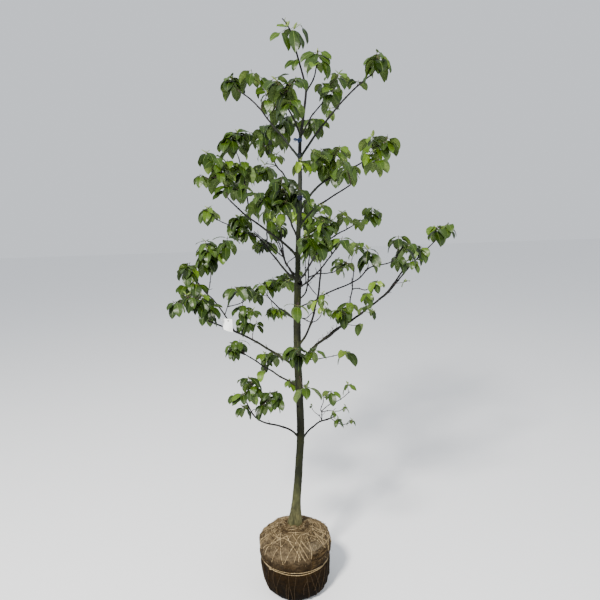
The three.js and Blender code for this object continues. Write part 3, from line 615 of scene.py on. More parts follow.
# ------------------------------------------------------------------ skeleton
def trunk_row(z, k):
    """Column k of the TRUNK table at height z (mm), smooth through the rows."""
    T = np.array(TRUNK, float)
    z = np.atleast_1d(np.asarray(z, float))
    i = np.clip(np.searchsorted(T[:, 0], z, side="right") - 1, 0, len(T) - 2)
    a, b, c, d = np.maximum(i - 1, 0), i, i + 1, np.minimum(i + 2, len(T) - 1)
    span = T[c, 0] - T[b, 0]
    t = np.clip((z - T[b, 0]) / span, 0, 1)
    m0 = (T[c, k] - T[a, k]) / (T[c, 0] - T[a, 0]) * span
    m1 = (T[d, k] - T[b, k]) / (T[d, 0] - T[b, 0]) * span
    t2, t3 = t * t, t * t * t
    return T[b, k] * (2 * t3 - 3 * t2 + 1) + m0 * (t3 - 2 * t2 + t) + T[c, k] * (3 * t2 - 2 * t3) + m1 * (t3 - t2)


def trunk_at(z):
    return np.array([trunk_row(z, 1)[0], trunk_row(z, 2)[0], float(z)])


def trunk_diameter(z):
    z = np.asarray(z, float)
    return trunk_row(z, 3) + FLARE * np.exp(-((np.maximum(z - 300.4, 0) / FLARE_HEIGHT) ** 1.3))


def bark_radius(z):
    """The bark stands a little outside the solid stem."""
    return trunk_diameter(z) / 2 + np.interp(z, [300, 450, 1870, 2000, 2110, 2230], [1.4, 1.7, 1.7, 1.4, 0.9, 0.4])


class Limb:
    """A limb's name, path, distance along it, radius there, tip, compass vectors and nodes."""


def make_limbs():
    limbs = {}
    z = np.linspace(300.4, 2507, 900)
    lt = Limb()
    lt.name, lt.p, lt.carrier = "trunk", np.stack([trunk_row(z, 1), trunk_row(z, 2), z], 1), None
    lt.s = z - 300.4
    lt.L = lt.s[-1]
    lt.r = trunk_diameter(z) / 2
    lt.end = lt.p[-1]
    limbs["trunk"] = lt
    for idx, (name, carrier, at, compass, reach, rise, b1, b2, s1, s2, foot, tip) in enumerate(BOUGHS):
        a = math.radians(compass)
        out = np.array([math.cos(a), math.sin(a), 0])
        across = np.array([-out[1], out[0], 0])
        shift = np.zeros(3)
        if carrier == "trunk":
            start = trunk_at(at)
        else:
            start = bezier(*limbs[carrier].curve, 1001)[int(round(at * 1000))]
            q = limbs[carrier].p
            shift = q[np.argmin(np.linalg.norm(q - start, axis=1))] - start
        end = start + out * reach + np.array([0, 0, rise])
        near = start + (end - start) / 3 + across * s1 + np.array([0, 0, b1])
        far = start + (end - start) * 2 / 3 + across * s2 + np.array([0, 0, b2])
        lb = Limb()
        lb.name, lb.carrier, lb.at, lb.compass = name, carrier, at, compass
        lb.curve, lb.out, lb.across, lb.end = (start, near, far, end), out, across, end
        p, s = resample(bezier(start, near, far, end, 400), 4.0)
        L = s[-1]
        # slight kinks where leaves once stood, none at either end
        w = np.sin(np.pi * np.clip(s / L, 0, 1)) ** 0.7
        c = np.full_like(s, idx * 3.71)
        k = np.stack([noise(np.stack([s / 58 + 13 * q, c, np.full_like(s, q * 9.1)], 1), 5) for q in range(3)], 1)
        p = p + k * w[:, None] * 3.4 + shift * (1 - s / L)[:, None]
        lb.p, lb.s, lb.L = p, s, L
        lb.r = np.interp(s / L, [0, 1], [foot / 2 + 0.9, tip / 2 + 1.1])
        lb.foot, lb.tip, lb.serves = foot, tip, name
        lb.start_r = trunk_diameter(at)[0] / 2 if carrier == "trunk" else limbs[carrier].r[int(at * (len(limbs[carrier].r) - 1))]
        rng = np.random.default_rng(300 + idx)
        # growth nodes, closer together toward the tip
        nodes, d = [], 40 + 20 * rng.random()
        while d < L - 12:
            nodes.append(d)
            d += (72 - 34 * d / L) * (0.8 + 0.4 * rng.random())
        lb.nodes = nodes
        limbs[name] = lb
    for idx, (name, serves, foot, tip, points) in enumerate(SHOOTS):
        lb = Limb()
        first = np.array(points[0], float)
        from_ = min(limbs.values(), key=lambda l: np.linalg.norm(l.p - first, axis=1).min())
        k = int(np.argmin(np.linalg.norm(from_.p - first, axis=1)))
        p, s = resample(through(points), 4.0)
        L = s[-1]
        p = p + (from_.p[k] - p[0]) * ((1 - s / L) ** 2)[:, None]
        w = np.sin(np.pi * np.clip(s / L, 0, 1))
        c = np.full_like(s, idx * 5.3 + 90)
        p = p + w[:, None] * 1.8 * np.stack([noise(np.stack([s / 34 + 7 * q, c, np.full_like(s, q * 4.1)], 1), 6) for q in range(3)], 1)
        lb.name, lb.carrier, lb.serves = name, from_.name, serves
        lb.at = from_.p[k][2]
        d = p[min(8, len(p) - 1)] - p[0]
        lb.compass = math.degrees(math.atan2(d[1], d[0]))
        lb.p, lb.s, lb.L, lb.end, lb.foot, lb.tip = p, s, L, p[-1], foot, tip
        lb.r = np.interp(s / L, [0, 1], [foot / 2 + 0.8, tip / 2 + 0.7])
        lb.start_r = from_.r[k]
        rng = np.random.default_rng(500 + idx)
        lb.nodes = [q for q in np.cumsum(22 + 24 * rng.random(20)) if q < L - 8]
        limbs[name] = lb
    return limbs


LIMBS = make_limbs()


# ------------------------------------------------------------------ trunk
def build_trunk():
    m = Mesh("trunk_bark")
    z = np.concatenate([np.arange(300.4, 470, 2.0), np.arange(470, 1500, 2.6), np.arange(1500, 2507, 3.2), [2507.0]])
    p = np.stack([trunk_row(z, 1), trunk_row(z, 2), z], 1)
    t = np.gradient(p, axis=0)
    t /= np.linalg.norm(t, axis=1)[:, None]
    k = smooth(0, 1, (z - 300.4) / 130)[:, None]
    t = t * k + np.array([0, 0, 1.0]) * (1 - k)
    t /= np.linalg.norm(t, axis=1)[:, None]
    side = np.zeros_like(p)
    side[0] = [1, 0, 0]
    for i in range(1, len(p)):
        s = side[i - 1] - t[i] * side[i - 1].dot(t[i])
        side[i] = s / np.linalg.norm(s)
    up = np.cross(t, side)
    sides = 44
    a = np.arange(sides) * (2 * np.pi / sides)
    base = bark_radius(z)
    Z, A = np.meshgrid(z, a, indexing="ij")
    R = base[:, None] * np.ones(sides)
    ca, sa = np.cos(A), np.sin(A)
    # root flare: a few low buttresses, then a slight oval and slow unevenness up the stem
    foot = np.exp(-(Z - 300.4) / 46)
    butt = noise(np.stack([ca * 1.7, sa * 1.7, Z / 260], -1), 3)
    R *= 1 + 0.17 * foot * butt + 0.05 * foot
    R *= 1 + 0.022 * np.cos(2 * A + Z / 210) + 0.03 * noise(np.stack([ca * 1.1, sa * 1.1, Z / 70], -1), 8)
    # fine, upright, broken fissures
    size = np.clip(base / 16, 0.15, 1.3)[:, None]
    f1 = noise(np.stack([ca * 5.2, sa * 5.2, Z / 34], -1), 21)
    f2 = noise(np.stack([ca * 9.0, sa * 9.0, Z / 17], -1), 22)
    R += size * (0.42 * (1 - 2 * np.abs(f1)) + 0.24 * f2)
    # cross wrinkles, strongest low down
    wr = noise(np.stack([ca * 1.4, sa * 1.4, Z / 3.4], -1), 31)
    R += size * 0.16 * wr * (0.5 + 0.8 * np.exp(-(Z - 300.4) / 130))
    # old leaf nodes go round the stem as low rings
    rng = np.random.default_rng(41)
    zz, rings = 392.0, []
    while zz < 2470:
        rings.append(zz)
        zz += (104 - 0.028 * (zz - 300)) * (0.75 + 0.5 * rng.random())
    for q in rings:
        tilt = 2.2 * np.sin(A + q)
        g = np.exp(-(((Z - q + tilt) / 3.2) ** 2)) - 0.55 * np.exp(-(((Z - q - 5.5 + tilt) / 2.4) ** 2))
        R += g * np.clip(base * 0.055, 0.28, 0.75)[:, None]
    # collars where the boughs leave, fuller below than above
    mat = np.zeros(Z.shape, int)
    for lb in LIMBS.values():
        if lb.carrier != "trunk":
            continue
        c = math.radians(lb.compass)
        rt = trunk_diameter(lb.at)[0] / 2
        d = lb.p[min(3, len(lb.p) - 1)] - lb.p[0]
        slope = d[2] / (math.hypot(d[0], d[1]) + 1e-6)
        zc = lb.at + clamp(slope, -1, 1.6) * rt
        da = (A - c + np.pi) % (2 * np.pi) - np.pi
        arc = da * rt
        w = lb.foot * 0.62
        dz = Z - zc
        g = np.exp(-((arc / w) ** 2)) * np.exp(-((dz / np.where(dz > 0, w * 0.9, w * 1.7)) ** 2))
        R += g * lb.foot * 0.30
        ridge = np.exp(-(((dz - w * 1.1 + np.abs(arc) * 0.8) / 1.8) ** 2)) * np.exp(-((arc / (w * 1.5)) ** 2))
        R += ridge * 0.7
    # pruning wounds: [height, compass, radius up, radius round, depth, swelling]
    for q, c, wu, wr_, deep, swell in ((1429, -52, 10, 11.5, 5.0, 6.0), (877, -128, 6, 5, 1.6, 0), (1196, -38, 5, 4.5, 1.4, 0), (560, -66, 5.5, 4.5, 1.2, 0), (769, 175, 7, 6, 1.6, 0)):
        rt = bark_radius(q)[0]
        da = (A - math.radians(c) + np.pi) % (2 * np.pi) - np.pi
        e = np.sqrt((da * rt / wr_) ** 2 + ((Z - q) / wu) ** 2)
        R += 1.5 * np.exp(-(((e - 1.15) / 0.32) ** 2)) * (deep / 3) - deep * (1 - smooth(0.35, 1.0, e)) + swell * np.exp(-((e / 1.7) ** 2))
        # the deep hole gets the near-black material: painted shade in the hole
        if deep > 1.5:
            mat[e < 0.95] = 1
    v = p[:, None, :] + R[..., None] * (ca[..., None] * side[:, None, :] + sa[..., None] * up[:, None, :])
    n = len(z)
    i = np.arange(n - 1)[:, None] * sides
    j = np.arange(sides)[None, :]
    kk = (j + 1) % sides
    quads = np.stack([i + j, i + kk, i + sides + kk, i + sides + j], -1).reshape(-1, 4)
    qm = mat[:-1, :].reshape(-1)
    verts = np.concatenate([v.reshape(-1, 3), [p[0]], [p[-1] + t[-1] * 2.2]])
    c0, c1 = n * sides, n * sides + 1
    b = (n - 1) * sides
    tris = [[c0, (q + 1) % sides, q] for q in range(sides)] + [[c1, b + q, b + (q + 1) % sides] for q in range(sides)]
    tone = 1 - 0.62 * smooth(1500, 1950, Z) - 0.38 * smooth(2040, 2200, Z)
    m.add(verts, quads, qm, tris, 0, tone=np.concatenate([tone.ravel(), [1, 0]]))
    return m


# ------------------------------------------------------------------ boughs
def limb_radius(lb, s, foot_extra=0.55):
    r = np.interp(s, lb.s, lb.r)
    r = r * (1 + foot_extra * np.exp(-np.maximum(s - lb.start_r, 0) / (2.0 + lb.foot * 0.8)))
    for q in lb.nodes:
        r = r + np.interp(q, lb.s, lb.r) * (0.24 * np.exp(-(((s - q) / 3.4) ** 2)) - 0.07 * np.exp(-(((s - q - 6) / 2.5) ** 2)))
    return r


def build_boughs():
    m = Mesh("boughs_bark")
    for idx, lb in enumerate(l for l in LIMBS.values() if l.carrier):
        p, s = resample(lb.p, 3.6)
        s = s * lb.L / s[-1]
        sides = 14 if lb.foot > 8 else 12
        a = np.arange(sides) * (2 * np.pi / sides)
        r = limb_radius(lb, s)
        S, A = np.meshgrid(s, a, indexing="ij")
        R = r[:, None] * (
            1
            + 0.055 * noise(np.stack([np.cos(A) * 1.6, np.sin(A) * 1.6, S / 9 + idx * 7.0], -1), 61)
            + 0.04 * noise(np.stack([np.cos(A) * 3.2, np.sin(A) * 3.2, S / 30 + idx * 5.0], -1), 62)
        )
        tone = 0.9 * np.exp(-np.maximum(s - lb.start_r, 0) / 26) * (1.0 if lb.carrier == "trunk" else 0.25) + 0.5 * smooth(2.4, 5.6, r)
        sweep(m, p, R, sides, 0, tone=np.clip(tone, 0, 1))
        # opposite scars and small pointed buds at the nodes
        t, sd, up = frames_along(lb.p)
        rng = np.random.default_rng(700 + idx)
        for q in lb.nodes:
            if q / lb.L < 0.25 and rng.random() < 0.5:
                continue
            k = int(np.argmin(np.abs(lb.s - q)))
            turn = rng.random() * np.pi
            rr = np.interp(q, lb.s, lb.r)
            for sgn in (0, np.pi):
                if rng.random() < 0.42:
                    continue
                e = math.cos(turn + sgn) * sd[k] + math.sin(turn + sgn) * up[k]
                length = 3.2 + 4.0 * rng.random() + (6 + 16 * rng.random() if rng.random() < 0.16 else 0)
                spur(m, lb.p[k] + e * rr * 0.6, unit(e * 0.75 + t[k] * 0.7), length, 1.05 + 0.25 * rng.random(), 0)
    return m


def spur(m, p0, d, length, r, mat):
    """A short side shoot that ends in a pointed bud."""
    d = unit(d)
    n = 6
    u = np.linspace(0, 1, n)
    lift = np.array([0, 0, 1.0])
    p = p0 + d * (u * length)[:, None] + lift * (0.12 * length * u**2)[:, None]
    rad = r * np.interp(u, [0, 0.45, 0.62, 0.8, 1.0], [1.15, 0.8, 1.12, 0.85, 0.18])
    sweep(m, p, rad, 6, mat)


# ------------------------------------------------------------------ leaf
# stations from base to tip (share of the length) and their level: -1 in a side vein, 1 on the crest between
LS, LEVEL = [0, 0.03], [0, 0.3]
for _v in (0.10, 0.27, 0.44, 0.61):
    LS += [_v - 0.006, _v + 0.006, _v + 0.085]
    LEVEL += [-1, -1, 1]
LS, LEVEL = np.array(LS + [0.80, 0.92, 1.0]), np.array(LEVEL + [-0.5, 0.3, 0.0])
ROWS = len(LS) - 1
LQ = np.array([-1, -0.62, -0.04, 0.04, 0.62, 1.0])
MID = 2                       # the strip of the midrib
_x = np.linspace(0, 1, 801)
_w = np.interp(_x, [0, 0.03, 0.07, 0.14, 0.25, 0.38, 0.52, 0.66, 0.78, 0.87, 0.93, 0.97, 1], [0, 0.20, 0.42, 0.70, 0.92, 1, 0.995, 0.90, 0.70, 0.45, 0.24, 0.09, 0])
_k = np.hanning(49)
_w = np.convolve(np.pad(_w, 24, mode="reflect", reflect_type="odd"), _k / _k.sum(), mode="valid")
_w = np.maximum(_w, 0)
_w[0] = _w[-1] = 0


def leaf_topology():
    nc, nr = len(LQ), ROWS - 1
    top = lambda i, j: (i - 1) * nc + j
    base, tip = nc * nr, nc * nr + 1

    def bot(i, j):
        return top(i, j) if j in (0, nc - 1) else nc * nr + 2 + (i - 1) * (nc - 2) + (j - 1)

    q, qm, t, tm = [], [], [], []
    for i in range(1, nr):
        vein = LEVEL[i] == -1 and LEVEL[i + 1] == -1
        for j in range(nc - 1):
            side = vein and 0 < j < nc - 2
            q.append([top(i, j), top(i + 1, j), top(i + 1, j + 1), top(i, j + 1)])
            qm.append(2 if j == MID else 3 if side else 0)
            q.append([bot(i, j), bot(i, j + 1), bot(i + 1, j + 1), bot(i + 1, j)])
            qm.append(2 if j == MID else 4 if side else 1)
    for j in range(nc - 1):
        mid = 2 if j == MID else 0
        t += [[base, top(1, j), top(1, j + 1)], [top(nr, j), tip, top(nr, j + 1)]]
        tm += [mid, mid]
        mid = 2 if j == MID else 1
        t += [[base, bot(1, j + 1), bot(1, j)], [bot(nr, j), bot(nr, j + 1), tip]]
        tm += [mid, mid]
    n = nc * nr + 2 + (nc - 2) * nr
    edge = np.zeros(n, bool)
    for i in range(1, nr + 1):
        edge[top(i, 0)] = edge[top(i, nc - 1)] = True
    edge[base] = edge[tip] = True
    return np.array(q), np.array(qm), np.array(t), np.array(tm), edge


LEAF_Q, LEAF_QM, LEAF_T, LEAF_TM, LEAF_EDGE = leaf_topology()


def leaf(mesh, base, heading, pitch, length, width, bend, rng, mats, roll=0.0, fold=10.0, camber=3.0, wave=1.6, sweep_yaw=0.0, curl=0.0):
    """One blade, a closed thin shell. heading: horizontal unit vector; pitch and bend in degrees."""
    s = LS
    e = 1 - (1 - s) ** 1.5
    absq = np.abs(LQ)
    X = s[:, None] + (e - s)[:, None] * absq[None, :] ** 1.6
    w = np.interp(X, _x, _w) * width / 2
    Y = LQ[None, :] * w
    ms = slice(MID, MID + 2)
    Y[:, ms] = np.minimum(np.abs(Y[:, ms]), 0.7 - 0.35 * s[:, None]) * np.sign(LQ[ms])
    # relief: side veins sunk, the blade quilted between them, midrib in a groove
    D = 0.021 * width * (LEVEL * np.sin(np.pi * np.clip(s, 0.05, 0.97)) ** 0.5)[:, None] * np.interp(absq, [0, 0.04, 0.62, 1], [0, 0.1, 1, 0.3])[None, :]
    D = D - 0.6 * np.exp(-((absq / 0.12) ** 2))[None, :] * np.sin(np.pi * np.clip(s, 0, 1))[:, None] ** 0.4
    half = np.abs(Y) / (width / 2)
    D = D + np.abs(Y) * math.tan(math.radians(fold)) - camber * half**2
    ph = rng.random(2) * 6.28
    fr = 1.3 + rng.random(2) * 1.2
    left = (LQ < 0)[None, :]
    D = D + wave * absq[None, :] ** 2 * np.sin(np.pi * X) ** 0.6 * np.where(left, np.sin(6.28 * fr[0] * X + ph[0]), np.sin(6.28 * fr[1] * X + ph[1]))
    # bent midrib
    u = np.linspace(0, 1, 60)
    th = np.radians(pitch - bend * (0.55 * u + 0.45 * u**1.6) + curl * smooth(0.8, 1, u))
    yaw = math.radians(sweep_yaw) * u
    h = np.array([-heading[1], heading[0], 0.0])
    Rv = heading[None, :] * np.cos(yaw)[:, None] + h[None, :] * np.sin(yaw)[:, None]
    Hv = np.stack([-Rv[:, 1], Rv[:, 0], np.zeros_like(u)], 1)
    T = Rv * np.cos(th)[:, None] + np.array([0, 0, 1.0]) * np.sin(th)[:, None]
    N = np.array([0, 0, 1.0]) * np.cos(th)[:, None] - Rv * np.sin(th)[:, None]
    M = base + np.concatenate([np.zeros((1, 3)), np.cumsum((T[1:] + T[:-1]) / 2 * (length / 59), axis=0)])
    rr = np.radians(roll * smooth(0, 0.3, u))
    S = Hv * np.cos(rr)[:, None] + N * np.sin(rr)[:, None]
    N2 = N * np.cos(rr)[:, None] - Hv * np.sin(rr)[:, None]
    at = lambda F: np.stack([np.interp(X, u, F[:, c]) for c in range(3)], -1)
    Mx, Sx, Nx = at(M), at(S), at(N2)
    top = Mx + Sx * Y[..., None] + Nx * D[..., None]
    thick = 0.42 * (1 - absq[None, :] ** 2) * np.sin(np.pi * np.clip(s, 0.02, 0.98))[:, None] ** 0.5 + 0.08
    keel = 0.75 * (absq < 0.1)[None, :] * (1 - 0.75 * s)[:, None]
    bot = top - Nx * (thick + keel)[..., None]
    v = np.concatenate([top[1:ROWS].reshape(-1, 3), top[0, MID:MID + 1] * 0.5 + top[0, MID + 1:MID + 2] * 0.5, top[ROWS, MID:MID + 1], bot[1:ROWS, 1:-1].reshape(-1, 3)])
    mats = np.asarray(mats)
    mesh.add(v, LEAF_Q, mats[LEAF_QM], LEAF_T, mats[LEAF_TM], edge=LEAF_EDGE)
    return T[0]


# ------------------------------------------------------------------ growth
TOPS = 9                      # leaf greens, dark to light
M_UNDER = [TOPS, TOPS + 1]    # undersides
M_RIB, M_PETIOLE, M_YOUNG, M_YOUNG_UNDER, M_UNDER_VEIN = TOPS + 2, TOPS + 3, TOPS + 4, TOPS + 5, TOPS + 6

leaf_meshes = [Mesh("leaves_top"), Mesh("leaves_middle"), Mesh("leaves_low")]
twig_mesh = Mesh("twigs")
umbrella_count = [0, 0]


def leaf_mesh_at(z):
    return leaf_meshes[0] if z > 1790 else leaf_meshes[1] if z > 1385 else leaf_meshes[2]


def petiole(mesh, p0, d0, p1, d1, r0=0.95, r1=0.65):
    L = np.linalg.norm(p1 - p0)
    p = bezier(p0, p0 + d0 * L * 0.4, p1 - d1 * L * 0.35, p1 + d1 * 1.4, 4)
    sweep(mesh, p, np.linspace(r0, r1, 4), 4, M_PETIOLE)


def spray(path, pairs, size, shade, rng, droop=1.0, top_pair=None):
    """Leaves in opposite pairs round the end of a twig, the older pairs longer and lower."""
    tip = path[-1]
    mesh = leaf_mesh_at(tip[2])
    d = unit(path[-1] - path[max(0, len(path) - 4)])
    ref = np.array([0, 0, 1.0]) if abs(d[2]) < 0.9 else np.array([1.0, 0, 0])
    e1 = unit(np.cross(d, ref))
    e2 = np.cross(d, e1)
    turn = rng.random() * 6.28
    back = [0.5, 10, 24, 40, 56]
    seg = np.r_[0, np.cumsum(np.linalg.norm(np.diff(path[::-1], axis=0), axis=1))]
    for k in range(pairs):
        bd = min(back[k] * (0.8 + 0.4 * rng.random()) * size, seg[-1] * 0.8)
        q = np.array([np.interp(bd, seg, path[::-1][:, c]) for c in range(3)])
        age = (k + 0.5) / max(pairs, 2)
        for side in (0, 1):
            if rng.random() < (0.05 if k < 2 else 0.12) and pairs > 1:
                continue
            az = turn + k * (math.pi / 2 + 0.25 * (rng.random() - 0.5)) + side * math.pi + 0.42 * (rng.random() - 0.5)
            r = math.cos(az) * e1 + math.sin(az) * e2
            hd = np.array([r[0], r[1], 0.0])
            if np.linalg.norm(hd) < 0.25:
                hd = hd + 0.5 * np.array([d[0], d[1], 0]) + 0.15 * rng.normal(size=3) * [1, 1, 0]
            hd = unit(hd)
            length = size * (67 + 22 * age) * (0.86 + 0.26 * rng.random())
            width = length * (0.45 + 0.13 * rng.random())
            pitch = 6 - 46 * age + rng.normal() * 11
            bend = (66 + 20 * age + rng.normal() * 13) * droop
            bend = min(bend, 96 + pitch)
            pd = unit(r * 0.8 + d * 0.55 + np.array([0, 0, 0.15]))
            L = size * (6.5 + 6 * rng.random())
            pr = math.radians(pitch)
            d1 = hd * math.cos(pr) + np.array([0, 0, math.sin(pr)])
            start = q + pd * L * 0.6 + d1 * L * 0.5
            petiole(mesh, q, pd, start, d1)
            # leaf green: the spray's tone with random spread; the young top pair lighter by nature, the older, lower
            # pairs darker as painted shade; the underside follows, dark or light
            tone = int(clamp(round(shade + rng.normal() * 1.15 + (1.1, 0.3, -0.5, -1.0, -1.3)[k]), 0, TOPS - 1))
            under = M_UNDER[0] if tone < 5 else M_UNDER[1]
            leaf(
                mesh, start, hd, pitch, length, width, bend, rng, [tone, under, M_RIB, min(tone + 1, TOPS - 1), M_UNDER_VEIN],
                roll=rng.normal() * 26, fold=8 + 12 * rng.random(), camber=size * (2.0 + 3.0 * rng.random()),
                wave=size * (0.8 + 1.4 * rng.random()), sweep_yaw=rng.normal() * 11, curl=rng.normal() * 14 + 6,
            )
            umbrella_count[1] += 1
    # the growing point: a pale young pair, or a dark pointed bud
    if top_pair is None:
        top_pair = rng.random() < 0.45
    if top_pair:
        for side in (0, 1):
            az = turn + math.pi / 4 + side * math.pi + 0.3 * rng.normal()
            r = math.cos(az) * e1 + math.sin(az) * e2
            hd = unit(np.array([r[0], r[1], 0.0]) + 1e-3)
            length = size * (22 + 16 * rng.random())
            leaf(
                mesh, tip + d * 1.0, hd, 62 - 30 * rng.random(), length, length * 0.36, 30 * rng.random(), rng,
                [M_YOUNG, M_YOUNG_UNDER, M_RIB, M_YOUNG, M_YOUNG_UNDER], roll=rng.normal() * 10, fold=26, camber=0.6, wave=0.3,
            )
            umbrella_count[1] += 1
    spur(twig_mesh, tip - d * 1.0, d + 0.15 * rng.normal(size=3), 7 + 6 * rng.random(), 1.15, 0)
    umbrella_count[0] += 1


class Growth:
    """Points of the limbs and twigs that a new twig may leave from."""

    def __init__(self):
        P, T, R, K, F = [], [], [], [], []
        for idx, (name, lb) in enumerate(LIMBS.items()):
            t = np.gradient(lb.p, axis=0)
            t /= np.linalg.norm(t, axis=1)[:, None]
            step = 3
            if lb.carrier is None:
                keep = np.arange(0, len(lb.p), 4)
                keep = keep[lb.p[keep, 2] > 760]
            else:
                keep = np.arange(0, len(lb.p), step)
                keep = keep[lb.s[keep] > (max(40.0, 0.10 * lb.L) if hasattr(lb, "curve") else 0.5 * lb.L)]
                keep = np.append(keep, len(lb.p) - 1)
            P.append(lb.p[keep])
            T.append(t[keep])
            R.append(lb.r[keep])
            K.append(np.full(len(keep), idx))
            F.append(lb.s[keep] / lb.L)
        self.P, self.T, self.R = np.concatenate(P), np.concatenate(T), np.concatenate(R)
        self.K, self.F = np.concatenate(K), np.concatenate(F)
        self.names = list(LIMBS)
        self.serves = [getattr(l, "serves", "trunk") or "none" for l in LIMBS.values()]
        self.busy = np.zeros(len(self.P))
        self.left = []

    def add(self, p, r, k):
        t = np.gradient(p, axis=0)
        t /= np.linalg.norm(t, axis=1)[:, None] + 1e-9
        keep = np.arange(int(len(p) * 0.3), max(int(len(p) * 0.86), int(len(p) * 0.3) + 1), 3)
        self.P = np.concatenate([self.P, p[keep]])
        self.T = np.concatenate([self.T, t[keep]])
        self.R = np.concatenate([self.R, r[keep]])
        self.K = np.concatenate([self.K, np.full(len(keep), k)])
        self.F = np.concatenate([self.F, np.full(len(keep), 1.0)])
        self.busy = np.concatenate([self.busy, np.zeros(len(keep))])

    def pick(self, H, limb):
        D = H - self.P
        dist = np.linalg.norm(D, axis=1)
        cosang = (D * self.T).sum(1) / (dist + 1e-6)
        cost = dist + 26 * (1 - cosang) + 1.1 * np.maximum(0, self.P[:, 2] - H[2] + 14) + self.busy
        own = np.array([n == limb or v == limb or (limb == "trunk_only" and n == "trunk") for n, v in zip(self.names, self.serves)])
        cost = cost + np.where(own[self.K], 0, 55.0)
        cost = cost + np.where(self.K == 0, 60.0 if limb != "trunk" else 0.0, 90.0 if limb == "trunk_only" else 0.0)
        k = int(np.argmin(cost))
        near = np.linalg.norm(self.P - self.P[k], axis=1)
        self.busy += 30 * np.exp(-((near / 16) ** 2))
        return k

    def twig(self, H, limb, rng, upright=0.85):
        k = self.pick(H, limb)
        P0, tan, rp = self.P[k], self.T[k], self.R[k]
        D = H - P0
        L = np.linalg.norm(D)
        dirH = D / (L + 1e-9)
        dep = unit(0.6 * tan + 0.6 * dirH + np.array([0, 0, 0.1]) + 0.12 * rng.normal(size=3))
        horiz = np.array([dirH[0], dirH[1], 0])
        arr = unit(0.45 * horiz + np.array([0, 0, upright]) + 0.16 * rng.normal(size=3))
        c = bezier(P0, P0 + dep * 0.38 * L, H - arr * 0.40 * L, H, 80)
        p, s = resample(c, 3.2)
        if L < 14:
            p, s = resample(np.array([P0 - tan * 6, P0, (P0 + H) / 2, H]), 3.0)
        w = np.sin(np.pi * s / s[-1])
        kk = rng.random() * 50
        nz = np.stack([noise(np.stack([s / 24 + kk, np.full_like(s, q * 5.3 + kk), np.full_like(s, 2.2)], 1), 77) for q in range(3)], 1)
        p = p + nz * w[:, None] * min(2.2, 0.02 * L)
        r0 = clamp(1.25 + 0.0065 * L, 1.3, min(2.5, max(0.86 * rp, 1.2)))
        r1 = 1.1
        r = np.interp(s / s[-1], [0, 1], [r0, r1])
        nodes = []
        q = 26 + 14 * rng.random()
        while q < s[-1] - 8:
            nodes.append(q)
            q += 30 + 22 * rng.random()
        rr = r * (1 + 0.5 * np.exp(-s / 4.0))
        for q in nodes:
            rr = rr + 0.33 * np.exp(-(((s - q) / 2.6) ** 2))
        sweep(twig_mesh, p, rr, 6, 0)
        t, sd, up = frames_along(p)
        for q in nodes:
            i = int(np.argmin(np.abs(s - q)))
            turn = rng.random() * np.pi
            for sg in (0, np.pi):
                if rng.random() < 0.5:
                    continue
                e = math.cos(turn + sg) * sd[i] + math.sin(turn + sg) * up[i]
                spur(twig_mesh, p[i] + e * 0.7, unit(e * 0.8 + t[i] * 0.7), 2.6 + 2.4 * rng.random(), 0.8, 0)
        self.add(p, r, int(self.K[k]))
        self.left.append(P0)
        return p


def lobe_centre(carrier, lobe):
    a, b, c, w, h = lobe
    if carrier == "trunk":
        return trunk_at(a) + np.array([b, c, 0.0]), w, h
    lb = LIMBS[carrier]
    return lb.end + lb.out * a + lb.across * b + np.array([0, 0, float(c)]), w, h


MASS_TONE_AND_SHADE = {
    # how light the sprays of a mass are: partly the leaves' own green, partly painted shade on masses that stand in
    # shade; a mass not named here is 4.2
    "top_left": 2.8, "top_left_side": 2.7, "top_right": 2.1, "upper_left": 3, "upper_right": 4.5, "right_mid": 5.1,
    "right_shoulder": 5.2, "right_front": 3.3, "front_upper": 1, "back_left": 3.2, "left_mid": 3, "left_mid_side": 4.5,
    "left_rear": 3.3, "back_inner": 1.6, "front_right": 3.4, "rear_right": 4.9, "right_inner": 1, "right_inner_side": 1.2,
    "right_far": 4.2, "right_low_side": 2.5, "right_low_near": 5.8, "left_far": 2.8, "left_low_side": 4.1, "left_low_near": 2.3,
    "rear_left": 5.3, "lower_left": 3.6, "foot_left": 3, "front_low": 2.7,
}


def leaf_scale(z):
    """Leaves are longest in the crown and smallest at its foot."""
    return float(np.interp(z, [900, 1100, 1500, 1900, 2300], [0.66, 0.72, 0.80, 0.90, 0.95]))


def set_leaf(row, rng):
    """A leaf from its foot to its tip, on the nearest stem."""
    b, t, width, bend, tone, roll = np.array(row[:3], float), np.array(row[3:6], float), row[6], row[7], row[8], row[9]
    d = t - b
    flat = math.hypot(d[0], d[1])
    hd = np.array([d[0], d[1], 0]) / flat
    pitch = math.degrees(math.atan2(d[2], flat)) + 0.448 * bend
    length = np.linalg.norm(d) / (1 - math.radians(bend) ** 2 / 24)
    small = width < 12
    if not small:
        stems = np.concatenate([LIMBS[n].p for n in ("trunk", "top_fork", "fork_end")])
        q = stems[np.argmin(np.linalg.norm(stems - b - [0, 0, 6], axis=1))]
        a = math.radians(pitch)
        petiole(leaf_meshes[0], q, unit(b - q + [0, 0, 3]), b, hd * math.cos(a) + np.array([0, 0, math.sin(a)]))
    mats = [tone, M_UNDER[0], M_RIB, min(tone + 1, TOPS - 1), M_UNDER_VEIN] if not small else [M_YOUNG, M_YOUNG_UNDER, M_RIB, M_YOUNG, M_YOUNG_UNDER]
    leaf(leaf_meshes[0], b, hd, pitch, length, width, bend, rng, mats, roll=roll, fold=8 + 6 * rng.random(), camber=3.0 if not small else 0.5, wave=1.2 if not small else 0.2)


